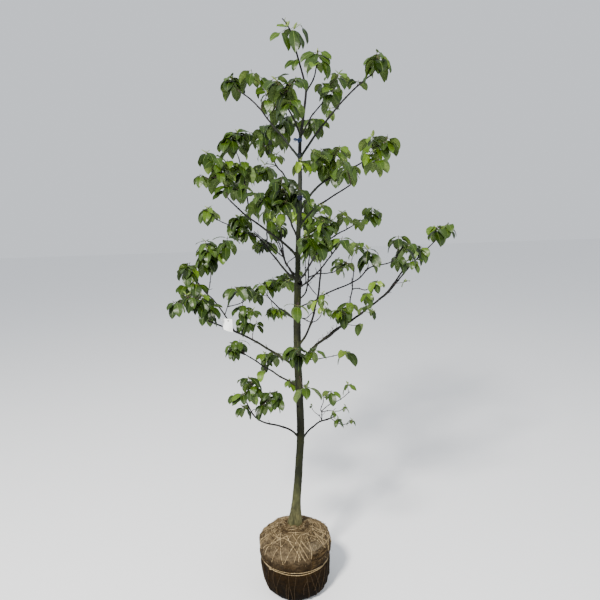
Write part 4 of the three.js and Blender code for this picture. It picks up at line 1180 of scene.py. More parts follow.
def umbrella(path, z, size, shade, spin):
    """One spray at a twig's end; spin seeds how its leaves stand."""
    rng = np.random.default_rng(40000 + spin)
    f = leaf_scale(z)
    rel = size / f
    if rel > 0.88:
        pairs = int(rng.choice([3, 4, 5], p=[0.25, 0.50, 0.25]))
    elif rel > 0.68:
        pairs = int(rng.choice([2, 3, 4], p=[0.14, 0.61, 0.25]))
    else:
        pairs = int(rng.choice([1, 2, 3], p=[0.25, 0.60, 0.15]))
    spray(path, pairs, f * (0.45 + 0.55 * rel) * (0.96 + 0.10 * rng.random()), shade, rng)


def grow_leaves():
    g = Growth()
    jobs = []
    for mi, (name, carrier, lobes) in enumerate(MASSES):
        for hi, (x, y, z, size, spin) in enumerate(HUBS.get(name, [])):
            jobs.append((name, carrier, np.array([x, y, z], float), size, mi * 100 + hi, spin))
    # nearer ones first, so that later twigs can leave from earlier ones
    def reach(job):
        lb = LIMBS[job[1]]
        return float(np.linalg.norm(lb.p - job[2], axis=1).min())
    jobs.sort(key=reach)
    for name, carrier, H, size, seed, spin in jobs:
        rng = np.random.default_rng(9000 + seed)
        path = g.twig(H, carrier, rng)
        # each spray's green carries its mass's painted shade
        umbrella(path, H[2], size, MASS_TONE_AND_SHADE.get(name, 4.2) + rng.normal() * 0.9, spin)
    for si, (name, limb, x, y, z, pairs, size, spin) in enumerate(SPRAYS):
        rng = np.random.default_rng(15000 + si * 7)
        path = g.twig(np.array([x, y, z], float), limb, rng, upright=0.5)
        spray(path, pairs, size, 4.0 + rng.normal() * 0.8, np.random.default_rng(50000 + spin), droop=0.9, top_pair=size < 0.72)
    rng = np.random.default_rng(33)
    for row in TOP_LEAVES:
        set_leaf(row, rng)
    # a limb whose end still has no twig near it ends in a small spray, or in a bud
    for bi, (name, lb) in enumerate(LIMBS.items()):
        near = min(np.linalg.norm(q - lb.end) for q in g.left)
        if name == "trunk" or near < 34:
            continue
        rng = np.random.default_rng(21000 + bi)
        path = lb.p[-22:]
        if lb.serves:
            spray(path, 2 + int(rng.random() < 0.5), 0.86 * leaf_scale(path[-1][2]), 4.2 + rng.normal() * 0.8, rng)
        else:
            spur(twig_mesh, path[-1], path[-1] - path[-3], 9, 1.1, 0)
    # fine bare twiglets low on the long bough at the right
    lb = LIMBS["right_low"]
    rng = np.random.default_rng(61)
    for q in np.linspace(0.17, 0.36, 7):
        i = int(q * len(lb.p))
        d = np.array([0.35 * rng.normal() + 0.3, 0.5 * rng.normal(), 1.0])
        L = 22 + 26 * rng.random()
        side = unit(np.cross(d, [0.3, 1, 0.2]))
        p, s_ = resample(through([lb.p[i], lb.p[i] + unit(d) * L * 0.5 + side * 3 * rng.normal(), lb.p[i] + unit(d) * L + side * 6 * rng.normal()]), 3.0)
        sweep(twig_mesh, p, np.interp(s_, [0, s_[-1]], [1.25, 0.75]), 6, 0)
        spur(twig_mesh, p[-1], p[-1] - p[-3], 5.5, 0.95, 0)
        if rng.random() < 0.6:
            k = len(p) // 2
            spur(twig_mesh, p[k], unit(p[k + 1] - p[k]) + side, 8 + 8 * rng.random(), 0.9, 0)


grow_leaves()


# ------------------------------------------------------------------ root ball
def ball_surface():
    prof = np.array(BALL_PROFILE, float)
    p3 = np.stack([prof[:, 0], np.zeros(len(prof)), prof[:, 1]], 1)
    rp, s = resample(p3, 3.4)
    nu = 330
    az = np.arange(nu) * (2 * np.pi / nu)
    r0, z0 = rp[:, 0], rp[:, 2]
    tr, tz = np.gradient(r0), np.gradient(z0)
    ln = np.hypot(tr, tz)
    nr, nz = tz / ln, -tr / ln
    A, R = np.meshgrid(az, r0)
    Z = np.meshgrid(az, z0)[1]
    X, Y = R * np.cos(A), R * np.sin(A)
    P = np.stack([X, Y, Z], -1)
    turn = lambda k, zz, seed: noise(np.stack([np.cos(A) * k, np.sin(A) * k, zz], -1), seed)
    out = s[:, None] / s[-1]
    outer = smooth(96, 112, R) * (Z < 250) + (Z >= 250)
    side = np.where((Z < 3) & (R < 118), 0.0, 1.0) * smooth(0, 16, Z)
    d = np.zeros_like(Z)
    d += 4.2 * fbm(P / 74.0, 101, 3) * side
    d += 1.5 * noise(P / 21.0, 102) * side
    # upright folds where the cloth is drawn in below the belts
    low = smooth(6, 34, Z) * (1 - smooth(128, 156, Z))
    d += low * 2.6 * (1 - 2 * np.abs(turn(4.2, Z / 260, 103)))
    d += low * 1.1 * (1 - 2 * np.abs(turn(8.5, Z / 150, 104)))
    # slack folds between the belts and the shoulder
    mid = smooth(166, 190, Z) * (1 - smooth(246, 262, Z))
    d += mid * 2.2 * (1 - 2 * np.abs(turn(3.0, Z / 95 + R / 160, 105)))
    d += mid * 1.0 * noise(np.stack([P[..., 0] / 30, P[..., 1] / 30, P[..., 2] / 7.5], -1), 106)
    # ropy folds that run round the shoulder at the sides and the back, smooth cloth at the front
    front = np.exp(-((((A + math.radians(92) + np.pi) % (2 * np.pi) - np.pi) / 0.66) ** 4))
    rope = smooth(62, 84, R) * (1 - smooth(156, 164, R)) * smooth(232, 246, Z) * (1 - front)
    band = noise(np.stack([np.cos(A) * 1.6, np.sin(A) * 1.6, s[:, None] / 8.5 * np.ones_like(A)], -1), 107)
    d += rope * 3.6 * (1 - 2.2 * np.abs(band))
    d += rope * 1.1 * noise(np.stack([np.cos(A) * 7, np.sin(A) * 7, s[:, None] / 4 * np.ones_like(A)], -1), 112)
    # gathers that run in to the collar
    top = smooth(104, 58, R) * smooth(270, 282, Z)
    d += top * 2.8 * (1 - 2 * np.abs(turn(4.6, R / 60, 108)))
    d += top * 1.3 * turn(10, R / 18, 109)
    # belts bite in
    for zb in BELTS:
        zz = belt_height(zb, A)
        d -= 2.8 * np.exp(-(((Z - zz) / 4.6) ** 2)) * (R > 120)
    # a rougher, bumpy band over the belts
    rough_band = np.exp(-(((Z - 192) / 17) ** 2)) * (R > 120)
    d += rough_band * 1.3 * noise(P / 8.5, 113) + rough_band * 1.0 * noise(P / 15.0, 114)
    # a loose flap lapped over at the right of the front
    ha = np.degrees(A)
    ha = (ha + 180) % 360 - 180
    flap = smooth(-65, -62.5, ha) * (1 - smooth(-18, -10, ha)) * smooth(170, 176, Z) * (1 - smooth(236, 240, Z + 0.12 * (ha + 40)))
    d += 2.6 * flap * (0.8 + 0.5 * noise(P / 26.0, 115))
    d -= 4.5 * np.exp(-(((ha + 45) / 12) ** 2) - (((Z - 243) / 3.4) ** 2))
    d = np.clip(d, -7.5, 6.0)
    # corners of the folded cloth stand out of the shoulder at either side
    for at, wide, zc, tall, out_by in ((-177, 15, 246, 9, 8.0), (-150, 9, 238, 8, 3.5), (-3, 13, 250, 9, 7.0), (24, 12, 240, 9, 4.0), (118, 16, 246, 9, 6.0)):
        off = (ha - at + 180) % 360 - 180
        d += out_by * np.exp(-((off / wide) ** 2) - (((Z - zc) / tall) ** 2)) * (0.75 + 0.5 * noise(P / 9.0, 131))
    N = np.stack([np.cos(A) * nr[:, None], np.sin(A) * nr[:, None], nz[:, None] * np.ones_like(A)], -1)
    P = P + N * d[..., None]
    P[..., 2] = np.maximum(P[..., 2], 0.0)
    P[(Z < 0.5) & (R < 104)] *= [1, 1, 0]
    # true normals of the uneven cloth
    du = np.roll(P, -1, axis=1) - np.roll(P, 1, axis=1)
    ds = np.gradient(P, axis=0)
    n = np.cross(du, ds)
    n /= np.linalg.norm(n, axis=-1)[..., None] + 1e-9
    flip = (n * N).sum(-1) < 0
    n[flip] *= -1
    return P, n, s, az, r0, z0, d


BELTS = (0, 1)


def belt_height(k, a):
    """The two turns lie apart at the front and the back and touch at the sides."""
    top = 156 + 10 * np.cos(a + math.radians(112)) + 1.5 * np.sin(2 * a + 1)
    apart = 4.2 + 7.5 * np.exp(-((((a + math.radians(88) + np.pi) % (2 * np.pi) - np.pi) / 0.72) ** 2)) + 5 * np.exp(-((((a - math.radians(70) + np.pi) % (2 * np.pi) - np.pi) / 0.5) ** 2))
    return top - k * apart


SURF, SURF_N, SURF_S, SURF_AZ, SURF_R0, SURF_Z0, SURF_D = ball_surface()


def on_ball(az_deg, z=None, r=None, lift=0.0):
    """Points on the cloth, from compass angle and either height (sides) or radius (top)."""
    az = np.radians(np.asarray(az_deg, float)) % (2 * np.pi)
    k = int(np.argmax(SURF_R0))
    if r is None:
        lo = np.argmax(SURF_Z0 > 2.0)
        order = slice(lo, len(SURF_Z0))
        s = np.interp(z, SURF_Z0[order], SURF_S[order])
    else:
        order = slice(k, len(SURF_R0))
        s = np.interp(-np.asarray(r, float), -SURF_R0[order], SURF_S[order])
    fi = np.interp(s, SURF_S, np.arange(len(SURF_S)))
    fu = az / (2 * np.pi) * len(SURF_AZ)
    i0 = np.clip(np.floor(fi).astype(int), 0, len(SURF_S) - 2)
    u0 = np.floor(fu).astype(int) % len(SURF_AZ)
    u1 = (u0 + 1) % len(SURF_AZ)
    a, b = (fi - i0)[..., None], (fu - np.floor(fu))[..., None]
    get = lambda F: (F[i0, u0] * (1 - a) + F[i0 + 1, u0] * a) * (1 - b) + (F[i0, u1] * (1 - a) + F[i0 + 1, u1] * a) * b
    return get(SURF) + get(SURF_N) * lift, get(SURF_N)


def build_burlap():
    P = SURF
    ns, nu = P.shape[:2]
    m = Mesh("burlap")
    keep = slice(1, ns)
    V = P[keep]
    n = V.shape[0]
    i = np.arange(n - 1)[:, None] * nu
    j = np.arange(nu)[None, :]
    k = (j + 1) % nu
    quads = np.stack([i + j, i + k, i + nu + k, i + nu + j], -1).reshape(-1, 4)
    # inner lip, then closed inside the foot of the trunk
    verts = [V.reshape(-1, 3)]
    rim = V[-1]
    ca = np.stack([np.cos(SURF_AZ), np.sin(SURF_AZ)], 1)
    lip1 = np.concatenate([rim[:, :2] - ca * 3.0, rim[:, 2:3] - 1.0], 1)
    lip2 = np.concatenate([ca * 20.0, np.full((nu, 1), 299.0)], 1)
    base = n * nu
    verts += [lip1, lip2]
    jj = np.arange(nu)
    kk = (jj + 1) % nu
    e = (n - 1) * nu
    quads = np.concatenate([
        quads,
        np.stack([e + jj, e + kk, base + kk, base + jj], -1),
        np.stack([base + jj, base + kk, base + nu + kk, base + nu + jj], -1),
    ])
    top_c, bot_c = base + 2 * nu, base + 2 * nu + 1
    verts += [np.array([[0, 0, 299.0]]), np.array([[0, 0, 0.0]])]
    tris = np.concatenate([
        np.stack([np.full(nu, top_c), base + nu + jj, base + nu + kk], -1),
        np.stack([np.full(nu, bot_c), kk, jj], -1),
    ])
    m.add(np.concatenate(verts), quads, 0, tris, 0)
    return m


# ------------------------------------------------------------------ twine and straw
def cord_tube(mesh, p, r, mat, plies=2, twist=11.0, sides=10, step=2.2, wear=0.0, seed=1):
    """A laid twine: plies turning round each other, with a slight fuzz of size."""
    p, s = resample(p, step)
    a = np.arange(sides) * (2 * np.pi / sides)
    S, A = np.meshgrid(s, a, indexing="ij")
    R = r * (0.84 + 0.17 * np.cos(plies * (A - 2 * np.pi * S / (twist * 2))) + 0.07 * noise(np.stack([np.cos(A) * 2, np.sin(A) * 2, S / 4.0], -1), seed))
    sweep(mesh, p, R, sides, mat)


def taut(p, keep=None, n=6):
    q = p.copy()
    for _ in range(n):
        q[1:-1] = (q[:-2] + 2 * q[1:-1] + q[2:]) / 4
    return q


def strand(points, n=60):
    """Waypoints [(compass, height)] on the cloth to a smooth run over it."""
    w = np.array(points, float)
    d = np.r_[0, np.cumsum(np.hypot(np.diff(w[:, 0]) * 2.6, np.diff(w[:, 1])))]
    u = np.linspace(0, d[-1], n)
    az = np.interp(u, d, w[:, 0])
    z = np.interp(u, d, w[:, 1])
    ker = np.hanning(23)[1:-1]
    ker /= ker.sum()
    az = np.convolve(np.pad(az, 10, mode="reflect", reflect_type="odd"), ker, mode="valid")
    z = np.convolve(np.pad(z, 10, mode="reflect", reflect_type="odd"), ker, mode="valid")
    return az, np.clip(z, 4.0, 303.0)


def build_twine():
    m = Mesh("twine")
    rng = np.random.default_rng(77)
    # two belts right round
    for bi, zb in enumerate(BELTS):
        a = np.linspace(0, 2 * np.pi, 420)
        z = belt_height(zb, a)
        p, _ = on_ball(np.degrees(a), z=z, lift=1.4)
        p = taut(p, n=14)
        p[-1] = p[0]
        # a darker copy of the twine, painted shade at the left and behind
        i0, i1 = int(420 * (52 + 7 * bi) / 360), int(420 * (209 - 5 * bi) / 360)
        cord_tube(m, p[i0:i1 + 1], 1.25, 2, sides=8, seed=bi + 2)
        cord_tube(m, np.concatenate([p[i1 - 1:-1], p[:i0 + 2]]), 1.3 + 0.2 * bi, 0, sides=8, seed=bi + 5)
    # strands over the front, then others of the same kind round the back
    for pts in STRANDS:
        az, z = strand(pts)
        p, nrm = on_ball(az, z=z, lift=1.5)
        q = taut(p, n=24)
        q = q + nrm * np.maximum(((p - q) * nrm).sum(1), 0)[:, None] * 0.8
        q = taut(q, n=2)
        r = 1.2 + 0.35 * rng.random()
        i = int(np.argmax(z < 224)) if z.min() < 190 else len(z)
        cord_tube(m, q[:i + 1], r, 0, sides=8, seed=int(rng.integers(1e6)))
        if i < len(z) - 2:
            cord_tube(m, q[i - 1:], 0.8 * r, 1, sides=8, seed=7)
    for k in range(24):
        a0 = -24 + 9.8 * k + rng.normal() * 3
        a1 = a0 + rng.normal() * 20
        low = 176 + 6 * rng.random() if rng.random() < 0.3 else 205 + 34 * rng.random()
        az, z = strand([(a0, 278 + 12 * rng.random()), ((a0 + a1) / 2, 258), (a1, low)])
        p, nrm = on_ball(az, z=z, lift=1.5)
        q = taut(p, n=24)
        q = q + nrm * np.maximum(((p - q) * nrm).sum(1), 0)[:, None] * 0.8
        cord_tube(m, taut(q, n=2), 1.2 + 0.35 * rng.random(), 0, sides=8, seed=int(rng.integers(1e6)))
    # round and across the shoulder
    for k in range(9):
        a0 = -14 + 27 * k + rng.normal() * 8
        h = 250 + 28 * rng.random()
        az, z = strand([(a0, h), (a0 + 18, h + 8 + 3 * rng.normal()), (a0 + 40, h + 6), (a0 + 62, h - 6 + 5 * rng.normal())])
        p, _ = on_ball(az, z=z, lift=1.8)
        cord_tube(m, taut(p), 1.4, int(rng.random() < 0.4), seed=int(rng.integers(1e6)))
    # turns round the collar
    for k in range(2):
        a = np.linspace(0, 2 * np.pi * 1.02, 150)
        r = 57 + 4.0 * k + 2.4 * np.sin(a * 2 + k)
        p, _ = on_ball(np.degrees(a), r=r, lift=1.7)
        cord_tube(m, taut(p, n=8), 1.6, 1, seed=9 + k)
    # lacing below the belts, down under the foot
    for pts in LOW_STRANDS:
        az, z = strand(pts)
        p, _ = on_ball(az, z=z, lift=1.2)
        cord_tube(m, taut(p), 1.35 + 0.4 * rng.random(), 1, sides=8, seed=int(rng.integers(1e6)))
    n = 26
    for k in range(n):
        a0 = -26 + 240 * k / n + rng.normal() * 4
        lean = (7 + 8 * rng.random()) * (1 if k % 2 else -1)
        az, z = strand([(a0, 148), (a0 + lean * 0.5, 85), (a0 + lean, 6)])
        p, _ = on_ball(az, z=z, lift=1.2)
        cord_tube(m, taut(p), 1.35 + 0.4 * rng.random(), 1, sides=8, seed=int(rng.integers(1e6)))
    # a knot on the belts, toward the left of the front
    c, nrm = on_ball(np.array([-133.0]), z=np.array([162.0]), lift=2.4)
    u = np.linspace(0, 2 * np.pi * 2.1, 60)
    tx = unit(np.cross([0, 0, 1], nrm[0]))
    p = c[0] + tx * (6 * np.sin(u))[:, None] + np.array([0, 0, 1.0]) * (4.6 * np.cos(u * 1.02))[:, None] + nrm[0] * (2.2 * np.sin(2 * u) + 1.5)[:, None]
    cord_tube(m, p, 1.9, 0, seed=4)
    return m


def build_straw():
    """Loose ends of jute and straw over the top of the ball and round the collar."""
    m = Mesh("loose_fibres")
    rng = np.random.default_rng(91)
    for k in range(760):
        r0 = 36 + 122 * rng.random() ** 0.75
        a0 = 360 * rng.random()
        facing = math.exp(-(((((a0 + 92 + 180) % 360) - 180) / 40) ** 4))
        if r0 > 64 and rng.random() < 0.93 * facing:
            continue
        radial = rng.random() < 0.26
        length = 16 + 62 * rng.random() ** 1.4
        n = 11
        u = np.linspace(-0.5, 0.5, n)
        if radial:
            r = np.clip(r0 + u * length, 36, 161)
            a = a0 + 8 * rng.normal() * u
        else:
            r = np.clip(r0 + u * length * rng.normal() * 0.22, 36, 161)
            a = a0 + np.degrees(u * length / r0)
        p, nrm = on_ball(a, r=r, lift=0.8)
        bow = (rng.random() ** 2) * 6 * (1 if rng.random() < 0.75 else 0.2)
        ends = rng.random(2) ** 2 * 8
        lift = bow * np.cos(np.pi * u) * 0.6 + np.where(u < 0, ends[0] * (2 * -u) ** 3, ends[1] * (2 * u) ** 3)
        p = p + nrm * lift[:, None] + rng.normal(size=3) * 0.4
        side = unit(np.cross(p[-1] - p[0], nrm[n // 2]))
        p = p + side * (rng.normal() * 3.5 * np.cos(np.pi * u))[:, None]
        p = taut(p, n=2)
        rad = (0.42 + 0.55 * rng.random() ** 2) * np.interp(np.linspace(0, 1, n), [0, 0.1, 0.9, 1], [0.5, 1, 1, 0.5])
        sweep(m, p, rad, 4, int(rng.choice([0, 1, 2, 3], p=[0.22, 0.33, 0.28, 0.17])))
    # straws wound round the collar
    for k in range(90):
        a0, w = 360 * rng.random(), 12 + 34 * rng.random()
        a = np.radians(np.linspace(a0 - w, a0 + w, 15))
        near = np.exp(-((((a + math.radians(70) + np.pi) % (2 * np.pi) - np.pi) / 1.05) ** 2))
        rad = 39 + 8.5 * near + 1.5 * np.sin(3 * a) + np.linspace(-1, 1, 15) * 5 * rng.normal()
        p, nrm = on_ball(np.degrees(a), r=rad, lift=0.0)
        p = p + nrm * ((3.4 + 3.4 * near) * (1.25 + 0.2 * rng.random()))[:, None] + np.linspace(-1, 1, 15)[:, None] * np.array([0, 0, 2.5 * rng.normal()])
        p = taut(p, n=2)
        sweep(m, p, np.interp(np.linspace(0, 1, 15), [0, 0.1, 0.9, 1], [0.3, 0.7, 0.7, 0.3]) * (0.8 + 0.5 * rng.random()), 4, int(rng.choice([0, 1, 2, 3], p=[0.10, 0.28, 0.34, 0.28])))
    # fuzz round the collar, standing up against the trunk
    for k in range(110):
        a0 = 360 * rng.random()
        base, nrm = on_ball(np.array([a0]), r=np.array([36 + 10 * rng.random()]), lift=0.0)
        e = np.array([math.cos(math.radians(a0)), math.sin(math.radians(a0)), 0])
        L = 8 + 20 * rng.random()
        u = np.linspace(0, 1, 7)[:, None]
        d = unit(e * (0.3 + 0.9 * rng.random()) + np.array([0, 0, 1.0]) * (0.2 + 0.8 * rng.random()) + rng.normal(size=3) * 0.35)
        p = base[0] + d * L * u + (e * 0.8 + np.array([0, 0, -0.9])) * (L * 0.35) * u**2
        sweep(m, p, np.linspace(0.6, 0.3, 7) * (0.7 + 0.7 * rng.random()), 5, int(rng.integers(0, 3)))
    # short hairs of the cloth on the sides
    for k in range(260):
        a0, z0 = 360 * rng.random(), 20 + 262 * rng.random()
        base, nrm = on_ball(np.array([a0]), z=np.array([z0]), lift=-0.5)
        L = 5 + 11 * rng.random() ** 2
        u = np.linspace(0, 1, 6)[:, None]
        d = unit(nrm[0] * 0.7 + rng.normal(size=3) * 0.6)
        p = base[0] + d * L * u + np.array([0, 0, -1.0]) * (L * 0.4) * u**2
        sweep(m, p, np.linspace(0.32, 0.18, 6), 4, int(rng.integers(0, 2)) if z0 > 170 else 3)
    return m


def build_collar():
    """The gathered edge of the cloth, rolled and tied round the foot of the trunk, thicker at the front."""
    m = Mesh("collar_cloth")
    a = np.radians(np.linspace(-178, 182, 150))
    near = np.exp(-((((a + math.radians(70) + np.pi) % (2 * np.pi) - np.pi) / 1.05) ** 2))
    rad = 39 + 8.5 * near + 1.5 * np.sin(3 * a)
    top, nrm = on_ball(np.degrees(a), r=rad, lift=0.0)
    thick = 3.4 + 3.4 * near
    p = top + nrm * (thick * 0.45)[:, None]
    sides = 22
    S, B = np.meshgrid(np.arange(len(a)), np.arange(sides) * (2 * np.pi / sides), indexing="ij")
    ang = a[S]
    twist = 0.16 * np.cos(2.0 * B + 17 * ang)
    lumps = 0.30 * noise(np.stack([np.cos(ang) * 5, np.sin(ang) * 5, np.cos(B) * 0.8], -1), 201) + 0.16 * noise(np.stack([np.cos(ang) * 11, np.sin(ang) * 11, np.sin(B) * 1.5], -1), 202)
    R = thick[S] * (1 + twist + lumps)
    p[-1] = p[0]
    R[-1] = R[0]
    sweep(m, p, R, sides, 0)
    return m


# ------------------------------------------------------------------ label and ties
def build_label():
    """A blank white label on a string."""
    m = Mesh("label")
    c = [np.array([-269, -125, 1309.0]), np.array([-223, -125, 1304.0]), np.array([-222, -125, 1249.0]), np.array([-259, -125, 1263.0])]
    nx, nz, th = 16, 18, 0.7
    g = np.zeros((nz + 1, nx + 1, 3))
    for i in range(nz + 1):
        for j in range(nx + 1):
            u, v = j / nx, i / nz
            q = (c[0] * (1 - u) + c[1] * u) * (1 - v) + (c[3] * (1 - u) + c[2] * u) * v
            q = q + np.array([0, -5.5 * math.sin(math.pi * u) - 7.0 * v * v + 2.0 * math.sin(3.1 * u + 4 * v), 0])
            g[i, j] = q
    nrm = np.array([0, -1.0, 0])
    hole = [(2, 9), (2, 10), (3, 9), (3, 10)]
    front, back = g + nrm * th / 2, g - nrm * th / 2
    n = (nz + 1) * (nx + 1)
    v = np.concatenate([front.reshape(-1, 3), back.reshape(-1, 3)])
    idx = lambda i, j: i * (nx + 1) + j
    quads = []
    solid = {(i, j) for i in range(nz) for j in range(nx)} - set(hole)
    for i, j in solid:
        a, b, c_, d = idx(i, j), idx(i + 1, j), idx(i + 1, j + 1), idx(i, j + 1)
        quads.append([a, b, c_, d])
        quads.append([n + a, n + d, n + c_, n + b])
        for (di, dj), (p, q) in {(-1, 0): (d, a), (1, 0): (b, c_), (0, -1): (a, b), (0, 1): (c_, d)}.items():
            if (i + di, j + dj) not in solid:
                quads.append([p, n + p, n + q, q][::-1])
    m.add(v, quads, 0)
    # string: through the hole and over the bough
    h = (g[2, 9] + g[4, 11]) / 2
    lb = LIMBS["left_low"]
    k = int(np.argmin(np.abs(lb.p[:, 0] + 243)))
    top = lb.p[k]
    rr = lb.r[k] + 1.2
    u = np.linspace(0, np.pi, 9)
    t = unit(lb.p[k + 1] - lb.p[k - 1])
    sd = unit(np.cross(t, [0, 0, 1]))
    if sd[1] > 0:
        sd = -sd
    over = [top + sd * rr * math.cos(x) + np.cross(sd, t) * rr * math.sin(x) * (1 if np.cross(sd, t)[2] > 0 else -1) for x in u]
    hf, hb = h + np.array([0, -2.2, 3]), h + np.array([0, 2.2, 3])
    loop = [h + np.array([0, 0, 4.5]), hf, (hf * 0.6 + over[0] * 0.4)] + over + [(hb * 0.6 + over[-1] * 0.4), hb, h + np.array([0, 0, 4.6])]
    p, _ = resample(np.array(loop), 1.6)
    p = taut(p, n=3)
    sweep(m, p, 0.62, 6, 1)
    return m


def ring(mesh, c, r, half_height, thick, mat, tilt=0.0, phase=0.0, wobble=0.0):
    a = np.linspace(0, 2 * np.pi * 1.01, 64)
    p = c + np.stack([r * np.cos(a + phase), r * np.sin(a + phase), tilt * np.sin(a + phase) + wobble * np.sin(3 * a)], 1)
    t, s, u = frames_along(p, first=[0, 0, 1])
    sides = 12
    b = np.arange(sides) * (2 * np.pi / sides)
    R = 1 / np.sqrt((np.cos(b) / half_height) ** 2 + (np.sin(b) / thick) ** 2)
    sweep(mesh, p, np.tile(R, (len(p), 1)), sides, mat, frames=(t, s, u))


def ribbon(mesh, p, wide, thick, mat, first):
    p, _ = resample(np.array(p, float), 1.8)
    p = taut(p, n=3)
    t, s, u = frames_along(p, first=first)
    sides = 10
    b = np.arange(sides) * (2 * np.pi / sides)
    R = 1 / np.sqrt((np.cos(b) / wide) ** 2 + (np.sin(b) / thick) ** 2)
    sweep(mesh, p, np.tile(R, (len(p), 1)), sides, mat, frames=(t, s, u))


def build_ties():
    m = Mesh("ties")
    # bright blue band with a bow, on the leader
    c = trunk_at(2029)
    r = bark_radius(2029)[0]
    for dz in (-3.2, 0.6, 3.8):
        ring(m, c + np.array([0, 0, dz]), r + 0.9, 2.3, 0.8, 0, tilt=1.2 * (1 if dz < 0 else -1), phase=dz)
    k = c + np.array([-11.0, -r - 1.2, 1.0])
    ribbon(m, [k, k + [-7, -2, 5], k + [-13, -3, 6], k + [-16, -2, 2], k + [-12, -2, -1], k + [-5, -1, -1], k], 2.9, 0.5, 0, [0, -0.3, 1])
    ribbon(m, [k, k + [4, -3, 5], k + [7, -4, 7], k + [8, -3, 3], k + [6, -2, 0], k + [3, -2, 0], k], 2.6, 0.5, 0, [0, -0.3, 1])
    ribbon(m, [k, k + [-6, -2, -5], k + [-13, -2, -8], k + [-20, -1, -8]], 2.6, 0.5, 0, [0, -1, 0])
    ribbon(m, [k, k + [2, -3, -5], k + [3, -4, -10], k + [6, -3, -14]], 2.4, 0.5, 0, [1, 0, 0])
    ring(m, k + np.array([0, -0.5, 0]), 2.2, 2.6, 1.6, 0)
    # dark wrap above the fork
    c = trunk_at(1968)
    r = bark_radius(1968)[0]
    for q in range(5):
        ring(m, c + np.array([0, 0, -7 + 3.4 * q]), r + 1.1 + 0.3 * (q % 2), 2.0, 1.1, 1, tilt=0.8 * (-1) ** q, phase=q)
    # dark blue tie lower on the leader
    c = trunk_at(1792)
    r = bark_radius(1792)[0]
    for q in range(4):
        ring(m, c + np.array([0, 0, -6 + 4.0 * q]), r + 1.0, 2.6, 1.0, 2, tilt=1.4 * (-1) ** q, phase=q * 2)
    k = c + np.array([2.0, -r - 2.8, 1.0])
    ring(m, k, 2.4, 3.2, 2.0, 2)
    ribbon(m, [k, k + [7, -2, 3], k + [14, -2, 2], k + [18, 0, -4]], 2.6, 0.55, 2, [0, 0, 1])
    ribbon(m, [k, k + [-6, -2, -6], k + [-10, -1, -15]], 2.4, 0.55, 2, [1, 0, 0])
    return m


# ------------------------------------------------------------------ colours
# leaf greens, dark to light; the darker ones also serve as painted shade, dealt out by mass and by leaf pair
LEAF_GREENS = [
    (14, 27, 0), (19, 34, 0), (25, 42, 1), (31, 50, 2), (39, 59, 3), (48, 70, 5), (64, 89, 8), (84, 112, 17), (108, 134, 34),
]
leaf_mats = [leaf_material(f"leaf_green_{i}", srgb(*c), rough=0.38 + 0.01 * (i % 3), spec=0.18 + 0.035 * i) for i, c in enumerate(LEAF_GREENS)]
leaf_mats += [
    leaf_material("leaf_under_dark", srgb(64, 84, 28), rough=0.6, spec=0.3),
    leaf_material("leaf_under_light", srgb(84, 104, 42), rough=0.6, spec=0.3),
    leaf_material("leaf_rib", srgb(88, 108, 38), rough=0.5),
    leaf_material("petiole", srgb(96, 98, 46), rough=0.5),
    leaf_material("leaf_young", srgb(112, 134, 54), rough=0.42),
    leaf_material("leaf_young_under", srgb(122, 140, 72), rough=0.55),
    leaf_material("leaf_under_vein", srgb(104, 122, 60), rough=0.6, spec=0.3),
]

OLD = (srgb(40, 37, 24), srgb(84, 82, 58), srgb(126, 120, 90))
YOUNG = (srgb(6, 4, 6), srgb(16, 12, 14), srgb(34, 29, 29))
trunk_mat = bark_material("bark_trunk", OLD, YOUNG)
# near-black paint in the deep pruning hole, a painted shade
hole_shade_mat, _nt, _b = node_material("wound")
_b.inputs["Base Color"].default_value = (*srgb(7, 6, 6), 1)
_b.inputs["Roughness"].default_value = 0.9
_b.inputs["Specular IOR Level"].default_value = 0.03
bough_mat = bark_material("bark_bough", OLD, YOUNG, rough=0.7, scale=1.6)
twig_mat = bark_material("bark_twig", OLD, (srgb(32, 22, 23), srgb(54, 40, 37), srgb(80, 64, 54)), rough=0.6, scale=2.2)


